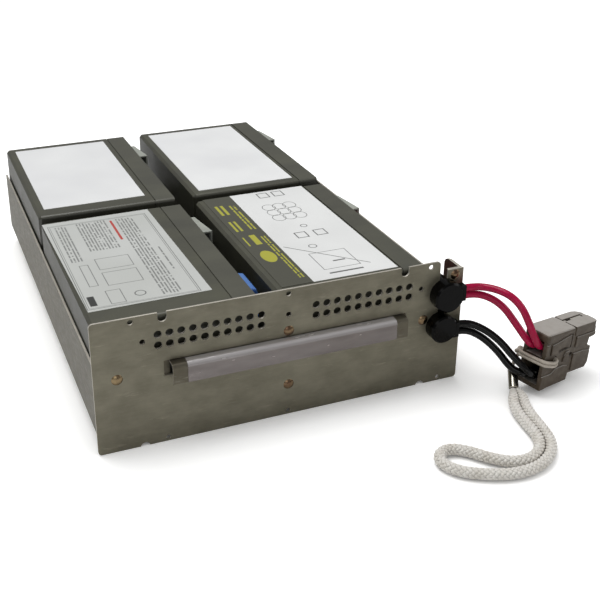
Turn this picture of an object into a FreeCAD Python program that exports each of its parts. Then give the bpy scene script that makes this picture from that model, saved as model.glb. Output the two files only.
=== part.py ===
"""Battery cartridge for an uninterruptible power supply.

A folded steel tray holds four sealed 12 V batteries lying on their sides. A face plate is riveted
across the tray's front and carries a pull handle, and two bushings let four cables out to a
two-pole connector. A cord tied to the connector holds a braided pull rope.

Frame: x to the right along the face plate, y to the back, z up. The origin lies under the middle
of the box that holds the cartridge without its cables. Millimetres.
"""
import FreeCAD, Part

import math
import os

import Sketcher
from FreeCAD import Placement, Rotation, Vector

doc = FreeCAD.newDocument("ups_battery_cartridge")

# ---------------------------------------------------------------------------------------------
# Driving dimensions
# ---------------------------------------------------------------------------------------------
DIMENSIONS = {
    # face plate
    "plate_width": 227.0,
    "plate_height": 82.0,
    "sheet_gauge": 1.2,
    "plate_corner": 2.2,
    "strip_height": 75.4,        # the narrow strip right of the cable slit is lower
    "slit_centre": 213.7,
    "slit_radius": 2.7,
    "slot_left": 39.6,
    "slot_width": 149.6,
    "slot_bottom": 42.6,
    "slot_height": 9.5,
    "vent_radius": 2.3,
    "vent_pitch": 6.67,
    "vent_count": 10,
    "vent_low": 62.4,
    "vent_high": 69.0,
    "vent_left": 37.0,
    "vent_right": 130.6,
    "notch_radius": 2.6,
    "notch_floor": 76.2,
    "top_hole_height": 79.2,
    "form_hole_height": 66.1,
    "base_hole_height": 2.4,
    "hole_radius": 1.6,
    # tray
    "tray_depth": 318.0,
    "tray_floor": 12.5,
    "wall_top": 57.5,
    "front_flange_top": 31.0,
    "rear_lip_height": 18.0,
    "ear_depth": 18.0,
    "ear_top": 75.0,
    "bracket_left": 216.8,
    "bracket_foot": 69.4,
    "bracket_leg_foot": 50.0,
    # pull handle
    "handle_gauge": 1.0,
    "handle_left": 9.0,
    "handle_right": 204.0,
    "handle_foot": 36.0,
    "handle_head": 60.0,
    "lip_left": 43.1,
    "lip_right": 187.8,
    "lip_reach": 5.9,
    "lip_crown": 51.4,
    "lip_foot": 39.4,
    "lip_bend": 2.6,
    "film_gauge": 0.3,
    "film_left": 51.5,
    "film_right": 180.3,
    # batteries, lying on the long side with the lids to the right
    "battery_height": 94.5,
    "battery_length": 151.0,
    "battery_width": 65.0,
    "lid_height": 13.6,
    "joint_gap": 0.8,
    "joint_inset": 0.7,
    "case_corner": 2.5,
    "base_bevel": 1.8,
    "label_gauge": 0.25,
    # terminal covers
    "cover_length": 27.0,
    "cover_front": 8.0,
    "cover_back": 4.3,
    "cover_height": 14.0,
    "cover_wall": 1.0,
    "tab_width": 6.35,
    "tab_gauge": 0.8,
    "blue_sleeve_length": 22.0,
    # cable bushings
    "bushing_front": 8.0,
    "bushing_rear": 14.8,
    "bushing_upper": 9.7,
    "bushing_lower": 8.9,
    "bushing_step": 1.7,
    "spout_reach": 1.1,
    # connector
    "shell_length": 47.5,
    "shell_height": 36.8,
    "shell_thickness": 16.0,
    "shell_rear": 26.0,
    "port_depth": 20.0,
    "cord_slot": 10.4,           # from the connector's cable end to the cord's slot
    "bar_middle": 18.4,
    # flexible parts
    "cable_diameter": 4.5,
    "lead_diameter": 4.0,
    "cord_diameter": 2.0,
    "rope_diameter": 6.8,
}

sheet = doc.addObject("Spreadsheet::Sheet", "dims")
for row, (alias, number) in enumerate(DIMENSIONS.items(), start=1):
    sheet.set("A%d" % row, alias.replace("_", " "))
    sheet.set("B%d" % row, str(number))
    sheet.setAlias("B%d" % row, alias)
doc.recompute()


class Length:
    """A length known both as a number and as the formula that the document keeps."""

    def __init__(self, value, text=None):
        self.value = float(value)
        self.text = text if text else repr(float(value))

    def _join(self, other, sign, value):
        return Length(value, "(%s %s %s)" % (self.text, sign, as_length(other).text))

    def __add__(self, other):
        return self._join(other, "+", self.value + as_length(other).value)

    def __sub__(self, other):
        return self._join(other, "-", self.value - as_length(other).value)

    def __mul__(self, other):
        return self._join(other, "*", self.value * as_length(other).value)

    def __neg__(self):
        return Length(0) - self


def as_length(number):
    return number if isinstance(number, Length) else Length(number)


def cell(alias):
    return Length(sheet.get(alias), "dims." + alias)


def bind(item, prop, number):
    """Gives a property its number and ties it to the sheet."""
    number = as_length(number)
    setattr(item, prop, number.value)
    if "dims" in number.text:
        item.setExpression(prop, number.text)


# ---------------------------------------------------------------------------------------------
# Small building helpers
# ---------------------------------------------------------------------------------------------
parts = []


def new_body(name, place=Vector(0, 0, 0)):
    body = doc.addObject("PartDesign::Body", name)
    body.Label = name
    body.Placement = Placement(place, Rotation())
    parts.append(body)
    return body


def new_sketch(body, name, role, offset=0.0):
    """A sketch on one of the body's own planes, shifted along that plane's normal."""
    plane = [item for item in body.Origin.OriginFeatures if item.Role == role][0]
    sketch = body.newObject("Sketcher::SketchObject", name)
    sketch.AttachmentSupport = [(plane, "")]
    sketch.MapMode = "FlatFace"
    offset = as_length(offset)
    sketch.AttachmentOffset = Placement(Vector(0, 0, offset.value), Rotation())
    if "dims" in offset.text:
        sketch.setExpression("AttachmentOffset.Base.z", offset.text)
    return sketch


def pin(sketch, geometry, corner, x, y):
    """Holds one point of a sketch at two lengths from its origin."""
    for kind, number in (("DistanceX", as_length(x)), ("DistanceY", as_length(y))):
        index = sketch.addConstraint(
            Sketcher.Constraint(kind, -1, 1, geometry, corner, number.value))
        if "dims" in number.text:
            sketch.setExpression("Constraints[%d]" % index, number.text)


def polygon(sketch, corners):
    """A closed outline through corners given as pairs of lengths."""
    values = [Vector(as_length(x).value, as_length(y).value, 0) for x, y in corners]
    first = sketch.GeometryCount
    count = len(values)
    for i in range(count):
        sketch.addGeometry(Part.LineSegment(values[i], values[(i + 1) % count]), False)
    for i in range(count):
        after = first + (i + 1) % count
        sketch.addConstraint(Sketcher.Constraint("Coincident", first + i, 2, after, 1))
    for i, (x, y) in enumerate(corners):
        pin(sketch, first + i, 1, x, y)


def rectangle(sketch, x0, y0, x1, y1):
    polygon(sketch, [(x0, y0), (x1, y0), (x1, y1), (x0, y1)])


def circle(sketch, x, y, radius):
    centre = Vector(as_length(x).value, as_length(y).value, 0)
    radius = as_length(radius)
    index = sketch.addGeometry(Part.Circle(centre, Vector(0, 0, 1), radius.value), False)
    pin(sketch, index, 3, x, y)
    size = sketch.addConstraint(Sketcher.Constraint("Radius", index, radius.value))
    if "dims" in radius.text:
        sketch.setExpression("Constraints[%d]" % size, radius.text)


def pad(body, sketch, length, backwards=False):
    feature = body.newObject("PartDesign::Pad", sketch.Name + "_pad")
    feature.Profile = sketch
    bind(feature, "Length", length)
    feature.Reversed = backwards
    doc.recompute()
    return feature


def pocket(body, sketch, depth=None, backwards=False):
    """Cuts a sketch out, right through when no depth is given, and checks that it cut."""
    before = body.Shape.Volume
    feature = body.newObject("PartDesign::Pocket", sketch.Name + "_pocket")
    feature.Profile = sketch
    if depth is None:
        feature.Type = "ThroughAll"
        feature.Midplane = True
    else:
        bind(feature, "Length", depth)
        feature.Reversed = backwards
    doc.recompute()
    if not body.Shape.Volume < before - 1e-6:
        raise RuntimeError(sketch.Name + " cuts nothing")
    return feature


def revolve(body, sketch):
    """Turns a sketch right round its own upright axis."""
    feature = body.newObject("PartDesign::Revolution", sketch.Name + "_turned")
    feature.Profile = sketch
    feature.ReferenceAxis = (sketch, ["V_Axis"])
    feature.Angle = 360
    doc.recompute()
    return feature


def edges_along(body, axis, *spots):
    """Names of a body's straight edges along an axis, at places in the body's own frame.

    A spot gives the two other coordinates, in order; None in a spot matches any value.
    """
    shape = body.Tip.Shape
    others = [k for k in range(3) if k != axis]
    names = []
    for number, edge in enumerate(shape.Edges, start=1):
        if len(edge.Vertexes) != 2 or edge.Curve.TypeId != "Part::GeomLine":
            continue
        start, end = edge.Vertexes[0].Point, edge.Vertexes[1].Point
        if max(abs(start[k] - end[k]) for k in others) > 1e-4:
            continue
        for spot in spots:
            if all(want is None or abs(start[k] - want) < 0.01
                   for k, want in zip(others, spot)):
                names.append("Edge%d" % number)
                break
    return names


def round_edges(body, base, radius, names, kind="Fillet"):
    if not names:
        raise RuntimeError("no edge to round on " + body.Name)
    feature = body.newObject("PartDesign::" + kind, body.Name + "_" + kind.lower())
    feature.Base = (base, names)
    bind(feature, "Radius" if kind == "Fillet" else "Size", radius)
    doc.recompute()
    return feature


def keep(name, shape, place=None):
    """A sub-part whose shape is worked out in code."""
    item = doc.addObject("Part::Feature", name)
    item.Label = name
    item.Shape = shape
    item.Placement = place if place else Placement()
    parts.append(item)
    return item


# ---------------------------------------------------------------------------------------------
# Tray: a folded channel with a front flange, a low rear lip and an ear at the right front
# ---------------------------------------------------------------------------------------------
gauge = cell("sheet_gauge")
width = cell("plate_width")
floor_under = cell("tray_floor")
floor_top = floor_under + gauge
depth = cell("tray_depth")

tray = new_body("tray")
channel = new_sketch(tray, "tray_channel", "XZ_Plane", -gauge)
polygon(channel, [
    (0, cell("wall_top")), (0, floor_under), (width, floor_under), (width, cell("wall_top")),
    (width - gauge, cell("wall_top")), (width - gauge, floor_top), (gauge, floor_top),
    (gauge, cell("wall_top"))])
channel_pad = pad(tray, channel, depth - gauge, backwards=True)
bend = edges_along(tray, 1, (0, floor_under.value), (width.value, floor_under.value))
round_edges(tray, channel_pad, 1.8, bend)

flange = new_sketch(tray, "front_flange", "XZ_Plane", -gauge)
rectangle(flange, gauge * 0.5, floor_top - gauge * 0.5, width - gauge * 0.5,
          cell("front_flange_top"))
pad(tray, flange, gauge, backwards=True)

rear_lip = new_sketch(tray, "rear_lip", "XZ_Plane", gauge - depth)
rectangle(rear_lip, gauge * 0.5, floor_top - gauge * 0.5, width - gauge * 0.5,
          floor_under + cell("rear_lip_height"))
pad(tray, rear_lip, gauge, backwards=True)

ear = new_sketch(tray, "bracket_ear", "YZ_Plane", width - gauge)
rectangle(ear, gauge, cell("wall_top") - 2, cell("ear_depth"), cell("ear_top"))
ear_pad = pad(tray, ear, gauge)
ear_corner = edges_along(tray, 0, (cell("ear_depth").value, cell("ear_top").value))
round_edges(tray, ear_pad, 5.0, ear_corner)

# ---------------------------------------------------------------------------------------------
# Face plate
# ---------------------------------------------------------------------------------------------
plate_height = cell("plate_height")
plate = new_body("front_plate")
blank = new_sketch(plate, "plate_blank", "XZ_Plane")
rectangle(blank, 0, 0, width, plate_height)
blank_pad = pad(plate, blank, gauge, backwards=True)
blank_corners = edges_along(plate, 1, (0, 0), (0, plate_height.value), (width.value, 0))
round_edges(plate, blank_pad, cell("plate_corner"), blank_corners)

# The strip right of the cable slit is lower than the rest, and the slit runs down through both
# bushing holes, so that the cables can be slipped in sideways.
slit = cell("slit_centre")
strip_cut = new_sketch(plate, "strip_cut", "XZ_Plane")
rectangle(strip_cut, slit, cell("strip_height"), width + 5, plate_height + 5)
pocket(plate, strip_cut)

UPPER_BUSHING = (214.5, 60.5)
LOWER_BUSHING = (212.3, 39.4)
slit_cut = new_sketch(plate, "slit_cut", "XZ_Plane")
rectangle(slit_cut, slit - cell("slit_radius"), LOWER_BUSHING[1], slit + cell("slit_radius"),
          plate_height + 5)
slit_pocket = pocket(plate, slit_cut)
slit_corner = edges_along(plate, 1, ((slit - cell("slit_radius")).value, plate_height.value))
round_edges(plate, slit_pocket, cell("plate_corner"), slit_corner)

bushing_holes = new_sketch(plate, "bushing_holes", "XZ_Plane")
circle(bushing_holes, *UPPER_BUSHING, cell("bushing_upper") - cell("bushing_step"))
circle(bushing_holes, *LOWER_BUSHING, cell("bushing_lower") - cell("bushing_step"))
pocket(plate, bushing_holes)

handle_slot = new_sketch(plate, "handle_slot", "XZ_Plane")
rectangle(handle_slot, cell("slot_left"), cell("slot_bottom"),
          cell("slot_left") + cell("slot_width"), cell("slot_bottom") + cell("slot_height"))
pocket(plate, handle_slot)

# Two notches in the top edge, each a round-bottomed slot open upwards.
NOTCHES = (39.95, 187.45)
radius = cell("notch_radius")
notch_mouths = new_sketch(plate, "notch_mouths", "XZ_Plane")
for centre in NOTCHES:
    rectangle(notch_mouths, as_length(centre) - radius, cell("notch_floor") + radius,
              as_length(centre) + radius, plate_height + 5)
pocket(plate, notch_mouths)
notch_floors = new_sketch(plate, "notch_floors", "XZ_Plane")
for centre in NOTCHES:
    circle(notch_floors, centre, cell("notch_floor") + radius, radius)
pocket(plate, notch_floors)

# Screw and locating holes, and two half-round bites in the lower edge.
TOP_HOLES = (22.3, 113.5, 204.7)
FORM_HOLES = (28.3, 113.5, 198.7)
BASE_HOLES = (40.3, 113.5, 213.9)
BITES = (26.8, 201.4)
holes = new_sketch(plate, "small_holes", "XZ_Plane")
for centre in TOP_HOLES:
    circle(holes, centre, cell("top_hole_height"), cell("hole_radius"))
for centre in FORM_HOLES:
    circle(holes, centre, cell("form_hole_height"), cell("hole_radius"))
for centre in BASE_HOLES:
    circle(holes, centre, cell("base_hole_height"), cell("hole_radius") - 0.3)
for centre in BITES:
    circle(holes, centre, -0.6, 2.8)
pocket(plate, holes)

# Vents: a pair of holes, one above the other, repeated along the plate on both sides.
for side in ("left", "right"):
    vents = new_sketch(plate, "vents_" + side, "XZ_Plane")
    for level in ("vent_low", "vent_high"):
        circle(vents, cell("vent_" + side), cell(level), cell("vent_radius"))
    seed = pocket(plate, vents)
    before = plate.Shape.Volume
    row = plate.newObject("PartDesign::LinearPattern", "vent_row_" + side)
    row.Originals = [seed]
    row.Direction = (vents, ["H_Axis"])
    bind(row, "Length", cell("vent_pitch") * (cell("vent_count") - 1))
    row.Occurrences = int(cell("vent_count").value)
    row.setExpression("Occurrences", "dims.vent_count")
    plate.Tip = row
    doc.recompute()
    if not plate.Shape.Volume < before:
        raise RuntimeError("the vent row repeats nothing")

# ---------------------------------------------------------------------------------------------
# Pull handle: a strip behind the plate whose tongue is bent out through the slot
# ---------------------------------------------------------------------------------------------
thin = cell("handle_gauge")
crown = cell("lip_crown")
reach = cell("lip_reach")
lip_left, lip_right = cell("lip_left"), cell("lip_right")

handle = new_body("pull_handle")
strip = new_sketch(handle, "handle_strip", "XZ_Plane", -gauge)
polygon(strip, [
    (cell("handle_left"), cell("handle_foot")), (lip_left, cell("handle_foot")),
    (lip_left, crown - thin), (lip_right, crown - thin), (lip_right, cell("handle_foot")),
    (cell("handle_right"), cell("handle_foot")), (cell("handle_right"), cell("handle_head")),
    (cell("handle_left"), cell("handle_head"))])
pad(handle, strip, thin, backwards=True)
lip = new_sketch(handle, "handle_lip", "YZ_Plane", lip_left)
polygon(lip, [
    (gauge + thin, crown), (gauge + thin, crown - thin), (thin - reach, crown - thin),
    (thin - reach, cell("lip_foot")), (-reach, cell("lip_foot")), (-reach, crown)])
lip_pad = pad(handle, lip, lip_right - lip_left)
lip_outside = edges_along(handle, 0, (-reach.value, crown.value))
rounded_lip = round_edges(handle, lip_pad, cell("lip_bend"), lip_outside)
lip_inside = edges_along(handle, 0, ((thin - reach).value, (crown - thin).value))
round_edges(handle, rounded_lip, cell("lip_bend") - thin, lip_inside)

skin = cell("film_gauge")
film = new_body("handle_film")
wrap = new_sketch(film, "film_wrap", "YZ_Plane", cell("film_left"))
polygon(wrap, [
    (-0.3, crown), (-0.3, crown + skin), (-reach - skin, crown + skin),
    (-reach - skin, cell("lip_foot")), (-reach, cell("lip_foot")), (-reach, crown)])
wrap_pad = pad(film, wrap, cell("film_right") - cell("film_left"))
film_outside = edges_along(film, 0, ((-reach - skin).value, (crown + skin).value))
rounded_film = round_edges(film, wrap_pad, cell("lip_bend") + skin, film_outside)
film_inside = edges_along(film, 0, (-reach.value, crown.value))
round_edges(film, rounded_film, cell("lip_bend"), film_inside)

# ---------------------------------------------------------------------------------------------
# Batteries
# ---------------------------------------------------------------------------------------------
BATTERIES = {
    "front_left": (1.8, 4.0),
    "front_right": (108.0, 4.0),
    "rear_left": (2.2, 165.5),
    "rear_right": (110.5, 165.5),
}
# Label outlines on each battery's upper side: x and y of the near left corner, width, length
# and turn in degrees, from the battery's own corner.
LABELS = {
    "front_left": (2.4, 16.0, 71.2, 131.2, 1.0),
    "front_right": (5.0, 5.0, 74.2, 145.0, 0.0),
    "rear_left": (5.8, 12.5, 70.4, 130.0, 0.0),
    "rear_right": (6.0, 7.0, 71.5, 136.0, 0.0),
}
COVER_START = 103.0     # from the battery's front end to the cover's open end
COVER_TOP = 62.3        # height of the cover's top above the battery's underside

high = cell("battery_height")
long_side = cell("battery_length")
across = cell("battery_width")
case_length = high - cell("lid_height") - cell("joint_gap")
corner = cell("case_corner")


def battery_case(name, place):
    """The jar: it opens to the right, and its base at the left has a bevelled rim."""
    body = new_body(name, place)
    outline = new_sketch(body, name + "_outline", "YZ_Plane")
    rectangle(outline, 0, 0, long_side, across)
    jar = pad(body, outline, case_length)
    sides = round_edges(body, jar, corner, edges_along(body, 0, (None, None)))
    base_rim = ["Edge%d" % number for number, edge in enumerate(body.Tip.Shape.Edges, start=1)
                if all(abs(vertex.Point.x) < 1e-4 for vertex in edge.Vertexes)]
    round_edges(body, sides, cell("base_bevel"), base_rim, "Chamfer")


def battery_lid(name, place):
    """The lid, standing off the jar by a narrow neck that shows as a groove."""
    body = new_body(name, place)
    neck = new_sketch(body, name + "_neck", "YZ_Plane", case_length)
    inset = cell("joint_inset")
    rectangle(neck, inset, inset, long_side - inset, across - inset)
    neck_pad = pad(body, neck, cell("joint_gap"))
    round_edges(body, neck_pad, corner - inset, edges_along(body, 0, (None, None)))
    outline = new_sketch(body, name + "_outline", "YZ_Plane", high - cell("lid_height"))
    rectangle(outline, 0, 0, long_side, across)
    block = pad(body, outline, cell("lid_height"))
    sides = edges_along(body, 0, (0, 0), (long_side.value, 0), (0, across.value),
                        (long_side.value, across.value))
    round_edges(body, block, corner, sides)


def terminal_cover(name, place):
    """A hood over a tab: it widens towards its open front end."""
    body = new_body(name, place)
    wall = cell("cover_wall")
    outline = new_sketch(body, name + "_outline", "XY_Plane")
    polygon(outline, [(0, 0), (cell("cover_front"), 0), (cell("cover_back"), cell("cover_length")),
                      (0, cell("cover_length"))])
    pad(body, outline, cell("cover_height"))
    hollow = new_sketch(body, name + "_hollow", "XY_Plane")
    polygon(hollow, [(-1, -1), (cell("cover_front") - wall, -1),
                     (cell("cover_back") - wall, cell("cover_length") - wall),
                     (-1, cell("cover_length") - wall)])
    pocket(body, hollow, cell("cover_height") - wall, backwards=True)


def tab(name, place):
    """A flat terminal blade standing out of the lid."""
    blade = doc.addObject("Part::Box", name)
    blade.Label = name
    bind(blade, "Length", 4.2)
    bind(blade, "Width", cell("tab_gauge"))
    bind(blade, "Height", cell("tab_width"))
    blade.Placement = Placement(place, Rotation())
    parts.append(blade)


for battery, (left, front) in BATTERIES.items():
    corner_at = Vector(left, front, floor_top.value)
    battery_case("battery_%s_case" % battery, corner_at)
    battery_lid("battery_%s_lid" % battery, corner_at)
    name = "battery_%s_label" % battery
    label = doc.addObject("Part::Box", name)
    label.Label = name
    from_left, from_front, label_width, label_length, turn = LABELS[battery]
    bind(label, "Length", label_width)
    bind(label, "Width", label_length)
    bind(label, "Height", cell("label_gauge"))
    label.Placement = Placement(corner_at + Vector(from_left, from_front, across.value),
                                Rotation(Vector(0, 0, 1), turn))
    parts.append(label)
    lid_face = corner_at + Vector(high.value, 0, 0)
    terminal_cover("battery_%s_cover" % battery, lid_face + Vector(
        0, COVER_START, COVER_TOP - cell("cover_height").value))
    tab("battery_%s_tab" % battery, lid_face + Vector(
        0, COVER_START + 13.0, COVER_TOP - 9.0))

# A blue insulating sleeve on the front left battery's other terminal.
sleeve = new_body("terminal_sleeve", Vector(96.3, 30.0, 50.0))
sleeve_face = new_sketch(sleeve, "sleeve_face", "XZ_Plane")
sleeve_wide, sleeve_high, sleeve_shoulder = 6.6, 24.5, 20.0
polygon(sleeve_face, [(0, 0), (sleeve_wide, 0), (sleeve_wide, sleeve_shoulder),
                      (sleeve_wide - 2.0, sleeve_high), (0, sleeve_high)])
pad(sleeve, sleeve_face, cell("blue_sleeve_length"), backwards=True)

# ---------------------------------------------------------------------------------------------
# Corner bracket behind the plate's low strip
# ---------------------------------------------------------------------------------------------
bracket = new_body("corner_bracket")
inner_face = width - gauge - gauge      # the side leg lies against the tray's ear
bracket_foot = cell("bracket_foot")
angle = new_sketch(bracket, "bracket_angle", "XY_Plane", bracket_foot)
polygon(angle, [
    (cell("bracket_left"), gauge), (width - gauge, gauge), (width - gauge, cell("ear_depth")),
    (inner_face, cell("ear_depth")), (inner_face, gauge * 2), (cell("bracket_left"), gauge * 2)])
pad(bracket, angle, cell("strip_height") - bracket_foot)
leg = new_sketch(bracket, "bracket_leg", "YZ_Plane", inner_face)
rectangle(leg, gauge, cell("bracket_leg_foot"), cell("ear_depth"), bracket_foot + 0.5)
leg_pad = pad(bracket, leg, gauge)
leg_corner = edges_along(bracket, 0, (cell("ear_depth").value, cell("strip_height").value))
round_edges(bracket, leg_pad, 4.6, leg_corner)

# ---------------------------------------------------------------------------------------------
# Rivets: a shallow dome on the plate, a shank, and an upset tail
# ---------------------------------------------------------------------------------------------
RIVETS = {
    # name: x, z, thickness of the sheets it grips
    "handle_rivet_left": (13.2, 45.9, 2.2),
    "handle_rivet_right": (201.2, 44.8, 2.2),
    "handle_rivet_middle": (113.7, 55.6, 2.2),
    "tray_rivet": (113.7, 20.3, 2.4),
    "bracket_rivet": (221.6, 71.6, 2.4),
}
DOME_RADIUS, DOME_RISE, SHANK_RADIUS = 3.2, 1.3, 1.4
TAIL_RADIUS, TAIL_RISE = 2.2, 0.9


def rivet_shape(grip):
    ball = (DOME_RADIUS ** 2 + DOME_RISE ** 2) / (2 * DOME_RISE)
    dome = Part.makeSphere(ball, Vector(0, ball - DOME_RISE, 0))
    front_half = Part.makeBox(2 * ball, 2 * ball, 2 * ball, Vector(-ball, -2 * ball, -ball))
    dome = dome.common(front_half)
    shank = Part.makeCylinder(SHANK_RADIUS, grip, Vector(0, 0, 0), Vector(0, 1, 0))
    tail = Part.makeCylinder(TAIL_RADIUS, TAIL_RISE, Vector(0, grip, 0), Vector(0, 1, 0))
    return dome.fuse(shank).fuse(tail).removeSplitter()


shank_holes = {"front_plate": [], "pull_handle": [], "tray": [], "corner_bracket": []}
for name, (x, z, grip) in RIVETS.items():
    keep(name, rivet_shape(grip), Placement(Vector(x, 0, z), Rotation()))
    gripped = {"tray_rivet": "tray", "bracket_rivet": "corner_bracket"}.get(name, "pull_handle")
    for owner in ("front_plate", gripped):
        shank_holes[owner].append((x, z))
for body in (plate, handle, tray, bracket):
    drilled = new_sketch(body, body.Name + "_rivet_holes", "XZ_Plane", -gauge)
    for x, z in shank_holes[body.Name]:
        circle(drilled, x, z, SHANK_RADIUS)
    pocket(body, drilled, None if body is plate else gauge * 2)

# ---------------------------------------------------------------------------------------------
# Cable bushings: a thick front disc, a neck in the plate and a body behind it
# ---------------------------------------------------------------------------------------------
SPOUT_FRONT, SPOUT_BACK, SPOUT_HALF = -7.5, -2.5, 4.9
SPOUT_ROOT = 3.0        # how far the spout starts inside the disc


def bushing(name, centre, size, spout_shift):
    """Turned about y; a short spout on the right passes the two cables out sideways."""
    body = new_body(name, Vector(centre[0], 0, centre[1]))
    neck = size - cell("bushing_step") - 0.1
    rear = size - cell("bushing_step") + 0.2
    front_at, rear_at = -cell("bushing_front"), gauge + cell("bushing_rear")
    outline = new_sketch(body, name + "_profile", "XY_Plane")
    polygon(outline, [
        (0, front_at), (size - 1, front_at), (size, front_at + 1), (size, 0), (neck, 0),
        (neck, gauge), (rear, gauge), (rear, rear_at - 1), (rear - 1, rear_at), (0, rear_at)])
    revolve(body, outline)
    spout = new_sketch(body, name + "_spout", "YZ_Plane", size - SPOUT_ROOT)
    rectangle(spout, SPOUT_FRONT, spout_shift - SPOUT_HALF, SPOUT_BACK, spout_shift + SPOUT_HALF)
    pad(body, spout, cell("spout_reach") + SPOUT_ROOT)
    return centre[0] + size.value + cell("spout_reach").value


red_exit = bushing("cable_bushing_upper", UPPER_BUSHING, cell("bushing_upper"), 1.4)
black_exit = bushing("cable_bushing_lower", LOWER_BUSHING, cell("bushing_lower"), -1.5)

# ---------------------------------------------------------------------------------------------
# Connector: two poles in one moulded shell, standing on its narrow edge in front of the tray
# ---------------------------------------------------------------------------------------------
# Its own axes: x from the cable end to the mating end, y its thickness, z up.
PORTS = {"upper": 27.6, "lower": 9.2}       # height of each pole's middle
PORT_WALL, MOUTH_WALL, SEAT_WALL = 2.2, 3.2, 4.0    # left standing on each side
PORT_HALF, MOUTH_HALF = 6.3, 5.0            # half heights
MOUTH_DEPTH = 16.0
SEAT_LOW, SEAT_HIGH = -4.4, -2.0            # the blade's seat, from the pole's middle
CONTACT_START = 11.0
BARREL_LENGTH, BARREL_HALF, BARREL_WALL = 8.5, 3.3, 2.7
BLADE_LENGTH = 24.5

shell_place = Placement(Vector(259.73, -40.34, 5.02), Rotation(15.65, 5.69, 0.88))
shell = new_body("connector_housing")
outline = new_sketch(shell, "shell_outline", "XZ_Plane")
shell_long, shell_high = cell("shell_length"), cell("shell_height")
shell_rear = cell("shell_rear")
polygon(outline, [
    (0, 0), (shell_rear, 0.9), (shell_rear + 0.6, 5.4), (shell_long - 4.0, 5.4),
    (shell_long - 2.0, 8.2), (shell_long - 2.0, 19.6), (shell_long - 5.6, 20.4),
    (shell_long - 5.6, 26.0), (shell_long, 26.6), (shell_long, shell_high - 4.4),
    (shell_long - 3.2, shell_high - 0.9), (shell_rear, shell_high - 0.9),
    (shell_rear - 0.5, shell_high), (0, shell_high)])
shell_thick = cell("shell_thickness")
shell_pad = pad(shell, outline, shell_thick, backwards=True)
top_edges = edges_along(shell, 0, (0, shell_high.value), (shell_thick.value, shell_high.value))
round_edges(shell, shell_pad, 2.4, top_edges)

for pole, middle in PORTS.items():
    port = new_sketch(shell, "port_" + pole, "YZ_Plane")
    rectangle(port, PORT_WALL, middle - PORT_HALF, shell_thick - PORT_WALL, middle + PORT_HALF)
    pocket(shell, port, cell("port_depth"), backwards=True)
    mouth = new_sketch(shell, "mouth_" + pole, "YZ_Plane", shell_long)
    rectangle(mouth, MOUTH_WALL, middle - MOUTH_HALF, shell_thick - MOUTH_WALL,
              middle + MOUTH_HALF)
    pocket(shell, mouth, MOUTH_DEPTH)
    bore = new_sketch(shell, "contact_seat_" + pole, "YZ_Plane", shell_long)
    rectangle(bore, SEAT_WALL, middle + SEAT_LOW, shell_thick - SEAT_WALL, middle + SEAT_HIGH)
    pocket(shell, bore, shell_long - cell("port_depth") + 1)

# Through the thickness go a slot for the cord's two turns, in the bar between the ports, and a
# screw hole. A shallow thumb recess lies beside them on both faces.
SLOT_HALF_WIDTH, SLOT_HALF_HEIGHT = 1.3, 2.3
SCREW_HOLE = (25.6, 18.4, 1.5)
cord_slot, bar_middle = cell("cord_slot"), cell("bar_middle")
through = new_sketch(shell, "through_holes", "XZ_Plane")
rectangle(through, cord_slot - SLOT_HALF_WIDTH, bar_middle - SLOT_HALF_HEIGHT,
          cord_slot + SLOT_HALF_WIDTH, bar_middle + SLOT_HALF_HEIGHT)
circle(through, *SCREW_HOLE)
pocket(shell, through)
for face, at in (("near", as_length(0)), ("far", -shell_thick)):
    recess = new_sketch(shell, "thumb_recess_" + face, "XZ_Plane", at)
    polygon(recess, [(13.6, 22.4), (24.8, 23.6), (24.8, 33.0), (20.4, 31.6), (13.6, 30.8)])
    pocket(shell, recess, 0.9, backwards=face == "far")
grip_groove = new_sketch(shell, "spring_groove", "XY_Plane", shell_high)
rectangle(grip_groove, shell_rear + 3.4, 8.6, shell_long - 1.5, 10.8)
pocket(shell, grip_groove, 2.4)
shell.Placement = shell_place

for pole, middle in PORTS.items():
    contact = new_body("contact_" + pole)
    barrel = new_sketch(contact, "barrel_" + pole, "YZ_Plane", CONTACT_START)
    rectangle(barrel, BARREL_WALL, middle - BARREL_HALF, shell_thick - BARREL_WALL,
              middle + BARREL_HALF)
    barrel_pad = pad(contact, barrel, BARREL_LENGTH)
    round_edges(contact, barrel_pad, 2.6, edges_along(contact, 0, (None, None)))
    blade = new_sketch(contact, "blade_" + pole, "YZ_Plane", CONTACT_START + BARREL_LENGTH - 0.5)
    rectangle(blade, SEAT_WALL + 0.4, middle + SEAT_LOW + 0.2,
              shell_thick - SEAT_WALL - 0.4, middle + SEAT_HIGH - 0.2)
    pad(contact, blade, BLADE_LENGTH)
    contact.Placement = shell_place

# ---------------------------------------------------------------------------------------------
# Cords: straight runs joined by arcs as large as the runs allow
# ---------------------------------------------------------------------------------------------


def route_wire(points, share=0.45):
    """The centre line through the points, and the radii of its arcs."""
    points = [Vector(*p) for p in points]
    edges, radii, start = [], [], points[0]
    for before, here, after in zip(points, points[1:], points[2:]):
        to_here, onward = here - before, after - here
        turn = to_here.getAngle(onward)
        cut = share * min(to_here.Length, onward.Length)
        radii.append(cut / math.tan(turn / 2))
        enter = here - to_here.normalize() * cut
        leave = here + onward.normalize() * cut
        bisector = ((enter + leave) * 0.5 - here).normalize()
        rise = radii[-1] / math.cos(turn / 2) - radii[-1]
        edges.append(Part.LineSegment(start, enter).toShape())
        edges.append(Part.Arc(enter, here + bisector * rise, leave).toShape())
        start = leave
    edges.append(Part.LineSegment(start, points[-1]).toShape())
    return Part.Wire(edges), radii


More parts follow.
